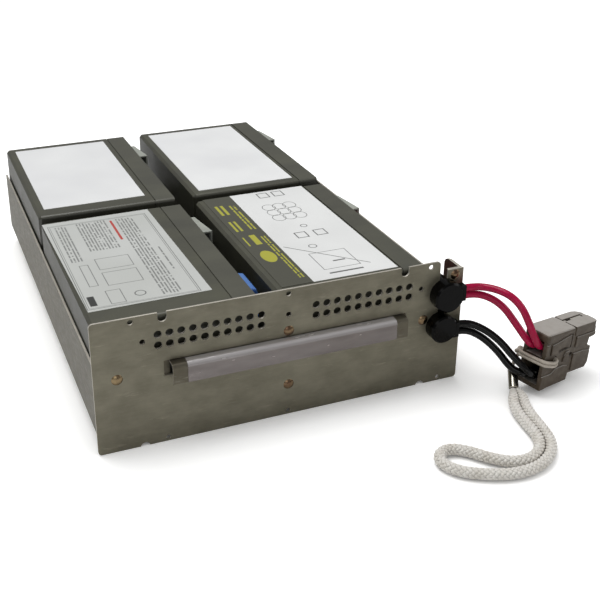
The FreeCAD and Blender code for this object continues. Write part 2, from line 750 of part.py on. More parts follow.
def tube(name, points, diameter):
    """A round cord along the points. Prints its length and radii, and checks its volume."""
    wire, radii = route_wire(points)
    heading = Vector(*points[1]) - Vector(*points[0])
    ring = Part.Circle(Vector(*points[0]), heading, diameter / 2).toShape()
    solid = wire.makePipe(Part.Face(Part.Wire([ring])))
    expected = math.pi * diameter ** 2 / 4 * wire.Length
    if abs(solid.Volume - expected) > 0.02 * expected:
        raise RuntimeError("%s has volume %.0f, not %.0f" % (name, solid.Volume, expected))
    print("%-22s length %6.1f  radii %s" % (
        name, wire.Length, " ".join("%.1f" % value for value in radii)))
    keep(name, solid)


def tight_cord(points, diameter):
    """A cord pulled tight over corners: straight runs that meet in a ball."""
    points = [Vector(*point) for point in points]
    runs = []
    for start, end in zip(points, points[1:]):
        runs.append(Part.makeCylinder(diameter / 2, (end - start).Length, start, end - start))
        runs.append(Part.makeSphere(diameter / 2, end))
    return runs


def on_shell(*local):
    """A point given in the connector's axes."""
    return tuple(shell_place.multVec(Vector(*local)))


cable = cell("cable_diameter").value
tube("cable_red_upper", [
    (red_exit, -5, 64.2), (232.6, -5, 64.2), (241.2, -12.4, 64.4), (246.8, -21.6, 63.0),
    (250.6, -28.2, 57.8), (253.6, -31.8, 49.6), on_shell(-4.4, 5.2, 33.8),
    on_shell(3.8, 5.2, 27.8), on_shell(CONTACT_START, 5.2, 27.8)], cable)
tube("cable_red_lower", [
    (red_exit, -5, 59.4), (232.4, -5, 59.4), (240.6, -9.4, 57.4), (247.0, -15.6, 52.6),
    (251.6, -22.2, 45.0), on_shell(-5.0, 10.8, 31.8), on_shell(3.6, 10.8, 27.3),
    on_shell(CONTACT_START, 10.8, 27.3)], cable)
tube("cable_black_upper", [
    (black_exit, -5, 40.3), (228.8, -5, 40.3), (236.2, -12.0, 38.2), (242.8, -20.8, 33.0),
    (249.0, -29.0, 25.8), on_shell(-4.4, 5.2, 14.2), on_shell(3.8, 5.2, 9.6),
    on_shell(CONTACT_START, 5.2, 9.6)], cable)
tube("cable_black_lower", [
    (black_exit, -5, 35.5), (228.8, -5, 35.5), (237.2, -10.6, 31.4), (243.8, -18.0, 24.4),
    (249.4, -26.0, 17.0), on_shell(-3.4, 10.8, 10.6), on_shell(3.8, 10.8, 8.8),
    on_shell(CONTACT_START, 10.8, 8.8)], cable)

# Leads inside the cartridge, lying in the gaps beside the batteries.
lead = cell("lead_diameter").value
rear_end = (gauge + cell("bushing_rear")).value


def tab_front(battery):
    """The point where a lead meets the near side of a battery's tab."""
    left, front = BATTERIES[battery]
    return (left + high.value + 2.1, front + COVER_START + 13.0, floor_top.value + COVER_TOP - 5.8)


red_tab, black_tab, link_tab = (tab_front(name) for name in
                                ("front_right", "rear_right", "front_left"))
tube("lead_positive", [
    (214.5, rear_end, 62.0), (214.5, 55, 62.0), (red_tab[0], 92, red_tab[2]), red_tab], lead)
tube("lead_negative", [
    (212.3, rear_end, 39.4), (212.3, 75, 39.4), (214.2, 135, 40.0), (214.2, 190, 44.0),
    (black_tab[0] + 2.5, 235, 60.0), (black_tab[0], 262, black_tab[2]), black_tab], lead)
tube("lead_link", [
    (99.6, 52.0, 64.0), (99.6, 75, 64.0), (link_tab[0], 98, link_tab[2]), link_tab], lead)

# The cord takes two turns round the bar between the connector's ports. Its knot lies on the far
# side, and its tail goes down into the steel sleeve that is crimped on the rope's two ends.
cord = cell("cord_diameter").value
stand_off = cord / 2 + 0.3
TURN_PITCH = cord + 0.15
KNOT, KNOT_RADIUS = (1.4, shell_thick.value + 2.9, 18.1), 2.7
SLEEVE_FOOT, SLEEVE_HEAD = Vector(248.5, -31.5, 4.1), Vector(253.6, -21.5, 12.1)
SLEEVE_RADIUS, SLEEVE_WALL, SLEEVE_EDGE = 3.0, 0.6, 0.3


def turn_round_bar(height):
    """One turn: along the far face, through the slot, and back along the near face and the end."""
    near, far = -stand_off, shell_thick.value + stand_off
    corners = [(-stand_off, far), (cord_slot.value, far), (cord_slot.value, near),
               (-stand_off, near), (-stand_off, far)]
    return tight_cord([on_shell(x, y, height) for x, y in corners], cord)


sleeve_way = SLEEVE_HEAD - SLEEVE_FOOT
sleeve_heading = Vector(sleeve_way).normalize()
knot_at = Vector(*on_shell(*KNOT))
tail = tight_cord([
    knot_at, SLEEVE_HEAD + sleeve_heading * 3.0, SLEEVE_HEAD - sleeve_heading * 2.0], cord)
upper_turn = turn_round_bar(bar_middle.value + TURN_PITCH / 2)
lower_turn = turn_round_bar(bar_middle.value - TURN_PITCH / 2)
tie = Part.makeSphere(KNOT_RADIUS, knot_at)
for run in upper_turn + lower_turn + tail:
    tie = tie.fuse(run)
keep("connector_tie", tie)

ferrule = new_body("rope_sleeve")
ferrule_wall = new_sketch(ferrule, "rope_sleeve_wall", "XZ_Plane")
polygon(ferrule_wall, [
    (SLEEVE_RADIUS - SLEEVE_WALL, 0), (SLEEVE_RADIUS - SLEEVE_EDGE, 0),
    (SLEEVE_RADIUS, SLEEVE_EDGE), (SLEEVE_RADIUS, sleeve_way.Length - SLEEVE_EDGE),
    (SLEEVE_RADIUS - SLEEVE_EDGE, sleeve_way.Length),
    (SLEEVE_RADIUS - SLEEVE_WALL, sleeve_way.Length)])
revolve(ferrule, ferrule_wall)
ferrule.Placement = Placement(SLEEVE_FOOT, Rotation(Vector(0, 0, 1), sleeve_way))

rope = cell("rope_diameter").value
lie = rope / 2 + 0.1
tube("pull_rope", [
    (246.2, -34.6, lie), (239.6, -42.6, lie), (235.0, -53.0, lie), (232.6, -65.0, lie),
    (231.2, -77.0, lie), (226.0, -86.8, lie), (216.0, -92.0, lie), (205.0, -91.2, lie),
    (196.4, -84.4, lie), (189.4, -75.0, lie), (180.6, -69.0, lie), (172.4, -71.8, lie),
    (169.8, -80.0, lie), (175.6, -89.4, lie), (187.0, -96.6, lie), (201.0, -101.8, lie),
    (215.0, -101.8, lie), (227.6, -96.4, lie), (237.0, -85.8, lie), (240.6, -71.6, lie),
    (242.6, -57.8, lie), (247.4, -46.0, lie), (253.4, -36.4, lie)], rope)

# ---------------------------------------------------------------------------------------------
# The frame's origin goes under the middle of the rigid cartridge; then checks and export
# ---------------------------------------------------------------------------------------------
doc.recompute()
OUTSIDE = ("cable_red", "cable_black", "connector_", "contact_", "pull_rope", "rope_sleeve")
box = FreeCAD.BoundBox()
for item in parts:
    if not item.Label.startswith(OUTSIDE):
        box.add(item.Shape.BoundBox)
shift = Vector(-box.Center.x, -box.Center.y, -box.ZMin)
for item in parts:
    item.Placement = Placement(shift, Rotation()).multiply(item.Placement)
doc.recompute()

for item in doc.Objects:
    bad = [state for state in item.State if state in ("Invalid", "Error")]
    if bad:
        raise RuntimeError("%s is %s" % (item.Label, bad[0]))

os.makedirs("parts", exist_ok=True)
for item in parts:
    shape = item.Shape
    if shape.isNull() or not shape.isValid() or len(shape.Solids) != 1:
        raise RuntimeError("%s has %d solids, valid %s" % (
            item.Label, len(shape.Solids), shape.isValid()))
    shape.exportStep("parts/%s.step" % item.Label)
print("%d parts, origin moved by %.2f %.2f %.2f" % (len(parts), *shift))
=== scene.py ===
# %% [markdown]
# # A battery cartridge, dressed for its picture
#
# The cartridge slides into the bottom of a rack-mounted power supply. A galvanised tray holds four
# sealed batteries, a perforated face plate closes the front, and four cables leave through two
# rubber bushings to a grey two-pole connector with a braided pull rope.
#
# The measured solids are loaded first and stay where they are. This lesson gives each of them the
# finish of the real material, and makes by hand what a solid can't show well: the cables, the
# rope's braid, the laid cord and the soft edges of moulded plastic.

import math
from functools import partial

import bmesh
import bpy
from mathutils import Matrix, Vector


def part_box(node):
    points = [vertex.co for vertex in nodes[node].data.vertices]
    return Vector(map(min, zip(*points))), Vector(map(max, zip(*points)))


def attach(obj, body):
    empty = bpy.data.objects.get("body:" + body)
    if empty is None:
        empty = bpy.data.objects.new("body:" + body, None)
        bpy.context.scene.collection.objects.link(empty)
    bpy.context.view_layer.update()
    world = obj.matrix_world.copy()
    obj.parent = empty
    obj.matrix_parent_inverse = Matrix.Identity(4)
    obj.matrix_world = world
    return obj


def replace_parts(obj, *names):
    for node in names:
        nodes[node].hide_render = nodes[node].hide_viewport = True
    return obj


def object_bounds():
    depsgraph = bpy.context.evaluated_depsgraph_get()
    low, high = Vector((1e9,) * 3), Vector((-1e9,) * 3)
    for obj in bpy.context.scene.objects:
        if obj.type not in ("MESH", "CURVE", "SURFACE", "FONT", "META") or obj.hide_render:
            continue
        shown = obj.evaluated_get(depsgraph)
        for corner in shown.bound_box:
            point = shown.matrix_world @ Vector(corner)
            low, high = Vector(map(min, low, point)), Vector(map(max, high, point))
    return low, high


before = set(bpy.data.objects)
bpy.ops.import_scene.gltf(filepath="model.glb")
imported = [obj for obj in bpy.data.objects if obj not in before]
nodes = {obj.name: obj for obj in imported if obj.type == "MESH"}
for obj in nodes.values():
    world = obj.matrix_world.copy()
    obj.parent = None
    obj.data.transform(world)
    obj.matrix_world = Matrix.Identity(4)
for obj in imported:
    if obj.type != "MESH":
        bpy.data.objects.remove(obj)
cad_low, cad_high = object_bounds()
MM = 0.001
PER_MM = 1 / MM                 # a pattern's scale for a grain of one millimetre
print("frame: %d nodes, box %s to %s" % (len(nodes), cad_low[:], cad_high[:]))

# %% [markdown]
# ## Where things are
#
# A maker measures this product from the lower left corner of its face plate: x to the right, y to
# the back, z up, in millimetres. The frame's box of the plate says where that corner is, so one
# small function turns the maker's figures into places in the scene. The connector lies askew on
# the bench, so it has a frame of its own: u from the cable end to the mating end, v through its
# thickness and w up.

# %% Two frames of reference
plate_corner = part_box("front_plate")[0]
CONNECTOR_PLACE = Vector((259.73, -40.34, 5.02))
CONNECTOR_TURN = [(15.65, "Z"), (5.69, "Y"), (0.88, "X")]
connector_turn = Matrix.Identity(3)
for degrees, axis in CONNECTOR_TURN:
    connector_turn = connector_turn @ Matrix.Rotation(math.radians(degrees), 3, axis)


def from_plate(x, y, z):
    """A place given from the face plate's lower left corner, in millimetres."""
    return plate_corner + Vector((x, y, z)) * MM


def on_connector(u, v, w):
    """The same, for a place given in the connector's own frame."""
    return from_plate(*(CONNECTOR_PLACE + connector_turn @ Vector((u, v, w))))


print("plate corner", plate_corner[:], "connector", on_connector(0, 0, 0)[:])

# %% [markdown]
# ## Camera
#
# The view is taken from the front left, a little above the battery tops, with a long enough lens
# that the tray's far edge stays nearly parallel to its near edge. The lens is shifted a little so
# that the object sits in the middle of the frame without the camera being turned.

# %% Camera
AZIMUTH, ELEVATION, ROLL = math.radians(20.96), math.radians(23.05), math.radians(-0.39)
EYE = from_plate(-80.51, -461.29, 333.80)
LENS, SENSOR = 60, 36           # mm
SHIFT = (0.0675, -0.1247)       # shares of the sensor's width

sight = Vector((math.sin(AZIMUTH) * math.cos(ELEVATION),
                math.cos(AZIMUTH) * math.cos(ELEVATION), -math.sin(ELEVATION)))
level = Vector((math.cos(AZIMUTH), -math.sin(AZIMUTH), 0))
upward = level.cross(sight)
rightward = level * math.cos(ROLL) + upward * math.sin(ROLL)
topward = upward * math.cos(ROLL) - level * math.sin(ROLL)

camera = bpy.data.objects.new("camera", bpy.data.cameras.new("camera"))
bpy.context.collection.objects.link(camera)
camera.matrix_world = Matrix((rightward, topward, -sight)).transposed().to_4x4()
camera.location = EYE
camera.data.lens, camera.data.sensor_width = LENS, SENSOR
camera.data.shift_x, camera.data.shift_y = SHIFT
camera.data.clip_start, camera.data.clip_end = 0.01, 20
bpy.context.scene.camera = camera
print("camera at", camera.location[:])

# %% [markdown]
# ## Nodes with less typing
#
# Every finish is a small network of shader nodes. One function adds a node, sets its properties
# and fills its inputs, and each finish gets it bound to its own tree under the name put. Three
# kinds do most of the work, and their inputs are given in order: a MapRange takes a value, the
# range it comes from and the range it goes to, a Mix takes a factor and two colours, and a
# TexNoise takes a place, a scale, a level of detail and a roughness. Colours are written as the
# sRGB codes that a colour picker shows, and one function turns them to the linear values that the
# renderer works in.

# %% Colour and node helpers
def colour(code):
    """sRGB hex to linear RGBA."""
    channels = [int(code[i:i + 2], 16) / 255 for i in (1, 3, 5)]
    linear = [c / 12.92 if c <= 0.04045 else ((c + 0.055) / 1.055) ** 2.4 for c in channels]
    return (*linear, 1.0)


def fill(node, inputs):
    """Fills a node's inputs. A list goes to the sockets in use, in their order, and a dict names
    its sockets. A value is a number, a hex colour, a socket, or a node, which stands for its
    first output in use."""
    named = isinstance(inputs, dict)
    sockets = node.inputs if named else [socket for socket in node.inputs if socket.enabled]
    for key, value in inputs.items() if named else enumerate(inputs):
        if isinstance(value, bpy.types.Node):
            value = next(socket for socket in value.outputs if socket.enabled)
        if isinstance(value, bpy.types.NodeSocket):
            node.id_data.links.new(value, sockets[key])
        elif isinstance(value, str) and value.startswith("#"):
            sockets[key].default_value = colour(value)
        else:
            sockets[key].default_value = value


def add(tree, kind, inputs=(), **settings):
    """Adds a node with its settings and links. A kind without "Node" in it is a shader node, and
    a second word in it is a Math node's operation or a Mix node's data type."""
    kind, _, mode = kind.partition(" ")
    node = tree.nodes.new(kind if "Node" in kind else "ShaderNode" + kind)
    if mode:
        settings["operation" if hasattr(node, "operation") else "data_type"] = mode
    for name, value in settings.items():
        setattr(node, name, value)
    fill(node, inputs)
    return node


def new_material(name, **constants):
    """A Principled material with these constants, the function that adds its nodes, and its
    shader."""
    material = bpy.data.materials.new(name)
    material.use_nodes = True
    shader = material.node_tree.nodes["Principled BSDF"]
    fill(shader, {name.replace("_", " "): value for name, value in constants.items()})
    return material, partial(add, material.node_tree), shader


def facing_up(put):
    """How far the surface faces up: 1 on a top, 0 on a side."""
    return put("SeparateXYZ", [put("NewGeometry").outputs["Normal"]]).outputs["Z"]


def paint(node_name, material):
    """Gives a measured solid its finish."""
    nodes[node_name].data.materials.clear()
    nodes[node_name].data.materials.append(material)


# %% [markdown]
# ## Galvanised sheet
#
# Tray, face plate, handle and bracket are cut from zinc-coated steel sheet. The coating is a dull
# metal with a brownish olive cast. Its zinc crystals show only as faint patches, and handling
# leaves short scuffs that run with the sheet. Wherever the sheet was sheared, the bare steel is
# painted as a bright line, which is also a painted highlight along the edge. The sheared edge is
# found from the surface's own direction: on a flat sheet everything that doesn't face along the
# sheet's normal is an edge.

# %% Galvanised steel
def galvanised(name, faces_along, dark, light):
    """Zinc-coated sheet. faces_along lists the axes, 0 to 2, that its flat sides face."""
    material, put, shader = new_material(name, Metallic=0.72)
    at = put("TexCoord").outputs["Object"]
    patches = put("TexNoise", [put("Mapping", {"Vector": at, "Scale": (1, 1, 1.6)}), PER_MM / 16,
                               4, 0.55])
    grain = put("TexNoise", [put("Mapping", {"Vector": at, "Scale": (0.12, 0.12, 1)}),
                             PER_MM / 0.9, 2, 0.55])
    sheet = put("Mix RGBA", [put("MapRange", [patches, 0.32, 0.68, 0, 1]), dark, light])
    scuff_noise = put("TexNoise", [put("Mapping", {"Vector": at, "Scale": (0.16, 0.16, 1)}),
                                   PER_MM / 2.4, 5, 0.7])
    scuffs = put("MapRange", [scuff_noise, 0.60, 0.78, 0, 0.55])
    sheet = put("Mix RGBA", [scuffs, sheet, "#aba594"])
    facing = put("SeparateXYZ", [put("NewGeometry").outputs["True Normal"]])
    flat = 0.0
    for axis in faces_along:
        flat = put("Math MAXIMUM", [flat, put("Math ABSOLUTE", [facing.outputs[axis]])])
    # Painted highlight: the sheared edges, bare steel, are painted bright as if catching the light.
    sheared_edge_highlight = put("MapRange", [flat, 0.25, 0.6, 1, 0])
    relief = put("Bump", {"Height": grain, "Distance": 0.02 * MM, "Strength": 0.5})
    fill(shader, {"Base Color": put("Mix RGBA", [sheared_edge_highlight, sheet, "#cfcabf"]),
                  "Roughness": put("MapRange", [grain, 0.3, 0.7, 0.40, 0.54]),
                  "Normal": put("Bump", {"Height": patches, "Distance": 0.10 * MM,
                                         "Strength": 0.35, "Normal": relief})})
    return material


SHEETS = [
    ("front_plate", "galvanised_face_plate", [1], "#757162", "#868272"),
    ("tray", "galvanised_tray", [0, 1], "#625e53", "#726e62"),
    ("pull_handle", "galvanised_handle", [1, 2], "#5d584b", "#6d685b"),
    # The bracket's darker, pinkish tone is a painted reflection of the red cables beside it.
    ("corner_bracket", "galvanised_bracket", [0, 1], "#5c5045", "#6c5f55")]
for node_name, finish, faces_along, dark, light in SHEETS:
    paint(node_name, galvanised(finish, faces_along, dark, light))
print("steel on the plate, tray, handle and bracket")

# %% [markdown]
# ## The film on the handle
#
# A strip of silvery adhesive film is wrapped over the handle's lip. It is thin polyester: smooth,
# a little lilac, with fine wrinkles across it, and a painted highlight along the bend where it
# faces up.

# %% Film
def silver_film():
    material, put, shader = new_material(
        "silvered_polyester_film", Metallic=0.6, Coat_Weight=0.3, Coat_Roughness=0.1)
    at = put("TexCoord").outputs["Object"]
    clouds = put("TexNoise", [put("Mapping", {"Vector": at, "Scale": (0.25, 1, 1)}), PER_MM / 6, 3,
                              0.55])
    silver = put("Mix RGBA", [put("MapRange", [clouds, 0.3, 0.7, 0, 1]), "#6f6866", "#837c7a"])
    # Painted highlight: lighter towards #d8d4d4 where the film faces up, along the bend.
    painted_bend_highlight = put("MapRange", [facing_up(put), 0, 0.7, 0, 1])
    wrinkles = put("TexNoise", [put("Mapping", {"Vector": at, "Scale": (3.0, 1, 0.4)}), PER_MM / 7,
                                3, 0.55])
    fill(shader, {"Base Color": put("Mix RGBA", [painted_bend_highlight, silver, "#d8d4d4"]),
                  "Roughness": put("MapRange", [clouds, 0, 1, 0.18, 0.32]),
                  "Normal": put("Bump", {"Height": wrinkles, "Distance": 0.12 * MM,
                                         "Strength": 0.5})})
    return material


paint("handle_film", silver_film())

# %% [markdown]
# ## Battery plastic
#
# The jars and lids are moulded ABS, nearly black, with a fine satin texture from the mould. A dark
# plastic shows mostly what it reflects, so its tops look olive grey under a pale ceiling, and its
# upright sides get painted shade that darkens them to near black. Handling leaves a little dust and
# pale rubbing along it.

# %% ABS
def moulded_abs(name, deep, worn):
    material, put, shader = new_material(name, IOR=1.54, Specular_IOR_Level=0.62)
    at = put("TexCoord").outputs["Object"]
    smear = put("TexNoise", [put("Mapping", {"Vector": at, "Scale": (0.5, 1, 1)}), PER_MM / 22, 4,
                             0.55])
    dust = put("MapRange", [put("TexNoise", [at, PER_MM / 1.6, 6, 0.75]), 0.56, 0.78, 0, 0.35])
    base = put("Mix RGBA", [put("MapRange", [smear, 0.35, 0.7, 0, 1]), deep, worn])
    # Painted shade: darker towards #1c1c17 where a surface stops facing up.
    painted_side_shade = put("MapRange", [facing_up(put), 0.3, 0.8, 0.55, 0])
    base = put("Mix RGBA", [painted_side_shade, base, "#1c1c17"])
    fill(shader, {"Base Color": put("Mix RGBA", [dust, base, "#6a695f"]),
                  "Roughness": put("MapRange", [smear, 0, 1, 0.36, 0.5]),
                  "Normal": put("Bump", {"Height": put("TexNoise", [at, PER_MM / 0.5, 2, 0.55]),
                                         "Distance": 0.03 * MM, "Strength": 0.5})})
    return material


BATTERIES = ["front_left", "front_right", "rear_left", "rear_right"]
jar_plastic = moulded_abs("moulded_black_abs_jar", "#3b3b30", "#474737")
lid_plastic = moulded_abs("moulded_black_abs_lid", "#404036", "#4c4c3f")
for battery in BATTERIES:
    paint("battery_%s_case" % battery, jar_plastic)
    paint("battery_%s_lid" % battery, lid_plastic)
print("plastic on %d batteries" % len(BATTERIES))

# %% [markdown]
# ## Labels
#
# Two labels are blank white film. The other two are printed, and their print is drawn here as
# plain fields: broken grey bars where there are lines of small print, thin rules, rings and one
# red bar. A label's own frame is worked out from its solid, so a field is written in millimetres
# from the label's near left corner, x across the battery and y along it.

# %% Tools for print
def label_frame(put, node_name):
    """x and y sockets in millimetres from the label's near left corner."""
    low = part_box(node_name)[0]
    local = put("Mapping", {"Vector": put("TexCoord").outputs["Object"],
                            "Location": tuple(-c / MM for c in low), "Scale": (1 / MM,) * 3})
    split = put("SeparateXYZ", [local])
    return split.outputs["X"], split.outputs["Y"]


def between(put, value, low, high, soft=0.12):
    """1 where the value lies between low and high, with soft edges."""
    rise = put("MapRange", [value, low - soft, low + soft, 0, 1])
    fall = put("MapRange", [value, high - soft, high + soft, 1, 0])
    return put("Math MULTIPLY", [rise, fall])


def field(put, x, y, x0, x1, y0, y1):
    """1 inside a rectangle of the label."""
    return put("Math MULTIPLY", [between(put, x, x0, x1), between(put, y, y0, y1)])


def rules(put, x, y, x0, x1, y0, y1, line=0.45):
    """The outline of a rectangle."""
    inside = field(put, x, y, x0 + line, x1 - line, y0 + line, y1 - line)
    return put("Math SUBTRACT", [field(put, x, y, x0, x1, y0, y1), inside])


def oval(put, x, y, x0, y0, wide, long, line=None):
    """A filled oval round a middle, or a ring if it has a line width."""
    across = put("Math DIVIDE", [put("Math SUBTRACT", [x, x0]), wide])
    along = put("Math DIVIDE", [put("Math SUBTRACT", [y, y0]), long])
    reach = put("Math SQRT", [put("Math ADD", [put("Math MULTIPLY", [across, across]),
                                               put("Math MULTIPLY", [along, along])])])
    return between(put, reach, 1 - line / wide if line else -1.0, 1.0, 0.12 / wide)


def slanted(put, x, y, total, x0, x1, line=0.45):
    """A straight line where x + y is the total, from x0 to x1."""
    near = put("Math SUBTRACT", [put("Math ADD", [x, y]), total])
    return put("Math MULTIPLY", [between(put, near, -line, line), between(put, x, x0, x1)])


def small_print(put, x, y, x0, x1, y0, y1, pitch=2.0):
    """Lines of small print that run along y, as bars broken where words end."""
    row = put("Math DIVIDE", [put("Math SUBTRACT", [x, x0]), pitch])
    ink = between(put, put("Math FRACT", [row]), 0.26, 0.74, 0.07)
    spot = put("CombineXYZ", {0: put("Math MULTIPLY", [put("Math FLOOR", [row]), 9.7]),
                              1: put("Math MULTIPLY", [y, 0.42])})
    words = put("TexNoise", {"Vector": spot, "Scale": 1.0, "Detail": 1.0})
    broken = put("Math MULTIPLY", [ink, put("MapRange", [words, 0.39, 0.44, 0, 1])])
    return put("Math MULTIPLY", [broken, field(put, x, y, x0, x1, y0, y1)])


def together(put, shapes):
    """The union of several shapes."""
    whole = shapes[0]
    for shape in shapes[1:]:
        whole = put("Math MAXIMUM", [whole, shape])
    return whole


# %% Label films
def label_film(name, pale, shade):
    """Polyester film with a soft sheen. Returns its nodes and its bare colour."""
    material, put, shader = new_material(name, IOR=1.5, Coat_Weight=0.25, Coat_Roughness=0.3,
                                         Roughness=0.42)
    at = put("TexCoord").outputs["Object"]
    clouds = put("MapRange", [put("TexNoise", [at, PER_MM / 60, 2, 0.55]), 0.35, 0.65, 0, 1])
    waves = put("TexNoise", [at, PER_MM / 14, 2, 0.55])
    fill(shader, {"Normal": put("Bump", {"Height": waves, "Distance": 0.05 * MM,
                                         "Strength": 0.4})})
    return material, put, shader, put("Mix RGBA", [clouds, pale, shade])


for row_end, pale, shade in (("left", "#ebecec", "#e2e3e4"), ("right", "#f0f1f1", "#e7e8e9")):
    material, put, shader, film = label_film("white_label_film_rear_" + row_end, pale, shade)
    fill(shader, {"Base Color": film})
    paint("battery_rear_%s_label" % row_end, material)

# %% Front left label: grey film with rules, columns of print and one red bar
material, put, shader, film = label_film("printed_grey_film", "#c9cbc8", "#c0c2be")
x, y = label_frame(put, "battery_front_left_label")
columns = together(put, [
    small_print(put, x, y, 6.0, 14.0, 66.0, 123.0),
    small_print(put, x, y, 20.0, 40.0, 78.0, 124.0),
    small_print(put, x, y, 46.0, 58.0, 6.0, 123.0),
    small_print(put, x, y, 60.5, 62.5, 36.0, 70.0)])
marks = together(put, [
    rules(put, x, y, 2.4, 67.6, 2.4, 126.0), rules(put, x, y, 3.6, 66.4, 3.6, 124.8, 0.3),
    rules(put, x, y, 16.4, 25.2, 5.0, 22.0), rules(put, x, y, 20.0, 41.0, 28.0, 46.0),
    rules(put, x, y, 20.0, 41.0, 50.0, 66.0), rules(put, x, y, 9.5, 15.0, 30.0, 60.0),
    oval(put, x, y, 34.7, 12.5, 3.4, 3.4, 0.7)])
film = put("Mix RGBA", [put("Math MULTIPLY", [columns, 0.8]), film, "#656765"])
film = put("Mix RGBA", [put("Math MULTIPLY", [marks, 0.85]), film, "#525452"])
film = put("Mix RGBA", [field(put, x, y, 5.0, 9.0, 6.0, 18.0), film, "#2c2d2b"])
film = put("Mix RGBA", [field(put, x, y, 42.4, 44.0, 89.0, 122.0), film, "#b8443a"])
fill(shader, {"Base Color": film})
paint("battery_front_left_label", material)

# %% Front right label: a dark strip with yellow green fields, and white film with line art
STRIP = 19.8                    # width of the dark strip, mm
material, put, shader, film = label_film("two_tone_printed_film", "#ecedec", "#e3e4e3")
x, y = label_frame(put, "battery_front_right_label")
strip_fields = together(put, [
    field(put, x, y, 3.4, 5.4, 113.0, 130.0), field(put, x, y, 7.2, 9.2, 113.0, 130.0),
    field(put, x, y, 3.2, 4.8, 84.0, 101.0), field(put, x, y, 6.4, 8.0, 84.0, 101.0),
    field(put, x, y, 8.0, 12.0, 60.5, 76.0), field(put, x, y, 3.0, 4.0, 60.0, 74.0),
    oval(put, x, y, 8.6, 42.0, 4.6, 8.6), small_print(put, x, y, 12.4, 17.6, 84.0, 128.0, 2.6),
    small_print(put, x, y, 14.0, 18.2, 8.0, 72.0, 2.1)])
art = [rules(put, x, y, 38.0, 46.0, 133.0, 142.0, 0.8),
       rules(put, x, y, 49.0, 57.0, 133.0, 142.0, 0.8),
       rules(put, x, y, 36.0, 44.0, 60.0, 69.0, 0.8),
       rules(put, x, y, 49.0, 57.0, 60.0, 69.0, 0.8),
       rules(put, x, y, 32.0, 56.0, 12.0, 36.0), field(put, x, y, 42.0, 50.0, 21.0, 22.4),
       field(put, x, y, 33.0, 55.0, 6.0, 7.6), slanted(put, x, y, 73.4, 22.0, 62.0),
       oval(put, x, y, 47.2, 77.8, 2.4, 2.4, 0.6), oval(put, x, y, 39.5, 46.0, 2.8, 2.8, 0.6)]
for cell_x in (37.5, 45.0, 52.5):
    for cell_y in (96.0, 105.5, 115.0):
        art.append(oval(put, x, y, cell_x, cell_y, 4.6, 5.4, 0.45))
film = put("Mix RGBA", [put("Math MULTIPLY", [together(put, art), 0.9]), film, "#3c3d3b"])
strip = put("Mix RGBA", [put("Math MULTIPLY", [strip_fields, 0.95]), "#46463a", "#b0ae34"])
film = put("Mix RGBA", [between(put, x, -5.0, STRIP), film, strip])
fill(shader, {"Base Color": film})
paint("battery_front_right_label", material)
print("print on two labels, two left blank")

# %% [markdown]
# ## Small plastics and metals
#
# The terminal covers are pale grey polypropylene, the sleeve between the front batteries is blue
# vinyl, and the bushings are glossy black rubber. The tabs and contacts are plated, the rivets have
# a brassy tint from their coating, and the sleeve on the rope is bright drawn steel.

# %% Small finishes
def plain_moulding(name, first, second, roughness, grain_mm=0.7, depth=0.03, **constants):
    """A material of two close colours with a fine grain."""
    material, put, shader = new_material(name, **constants)
    at = put("TexCoord").outputs["Object"]
    clouds = put("TexNoise", [at, PER_MM / 9, 4, 0.55])
    share = put("MapRange", [clouds, 0.3, 0.7, 0, 1])
    grain = put("TexNoise", [at, PER_MM / grain_mm, 2, 0.55])
    fill(shader, {"Base Color": put("Mix RGBA", [share, first, second]),
                  "Roughness": put("MapRange", [clouds, 0, 1, roughness - 0.06,
                                                roughness + 0.08]),
                  "Normal": put("Bump", {"Height": grain, "Distance": depth * MM,
                                         "Strength": 0.5})})
    return material


def dust_and_shade_moulding(name, side, top, painted_recess_shade):
    """Grey shell plastic with faint dust patches. Painted light and shade: tops are lighter, sides
    darker and browner, and hollows carry painted shade.
    """
    material, put, shader = new_material(name, IOR=1.5, Specular_IOR_Level=0.35)
    at = put("TexCoord").outputs["Object"]
    clouds = put("TexNoise", [at, PER_MM / 5, 4, 0.55])
    grain = put("TexNoise", [at, PER_MM / 0.8, 2, 0.55])
    openness_for_painted_shade = put("AmbientOcclusion", {"Distance": 5 * MM}, samples=8).outputs["AO"]
    # Painted light and shade: lighter where the surface faces up, darker and browner on its sides.
    shell = put("Mix RGBA", [put("MapRange", [facing_up(put), 0.25, 0.85, 0, 1]), side, top])
    shell = put("Mix RGBA", [put("MapRange", [clouds, 0.45, 0.7, 0, 0.25]), shell, "#8b8276"])
    # Painted shade in the hollows, taken from the ambient occlusion.
    shell = put("Mix RGBA", [put("MapRange", [openness_for_painted_shade, 0.05, 0.75, 0.75, 0]), shell, painted_recess_shade])
    fill(shader, {"Base Color": shell,
                  "Roughness": put("MapRange", [clouds, 0, 1, 0.38, 0.52]),
                  "Normal": put("Bump", {"Height": grain, "Distance": 0.05 * MM,
                                         "Strength": 0.5})})
    return material


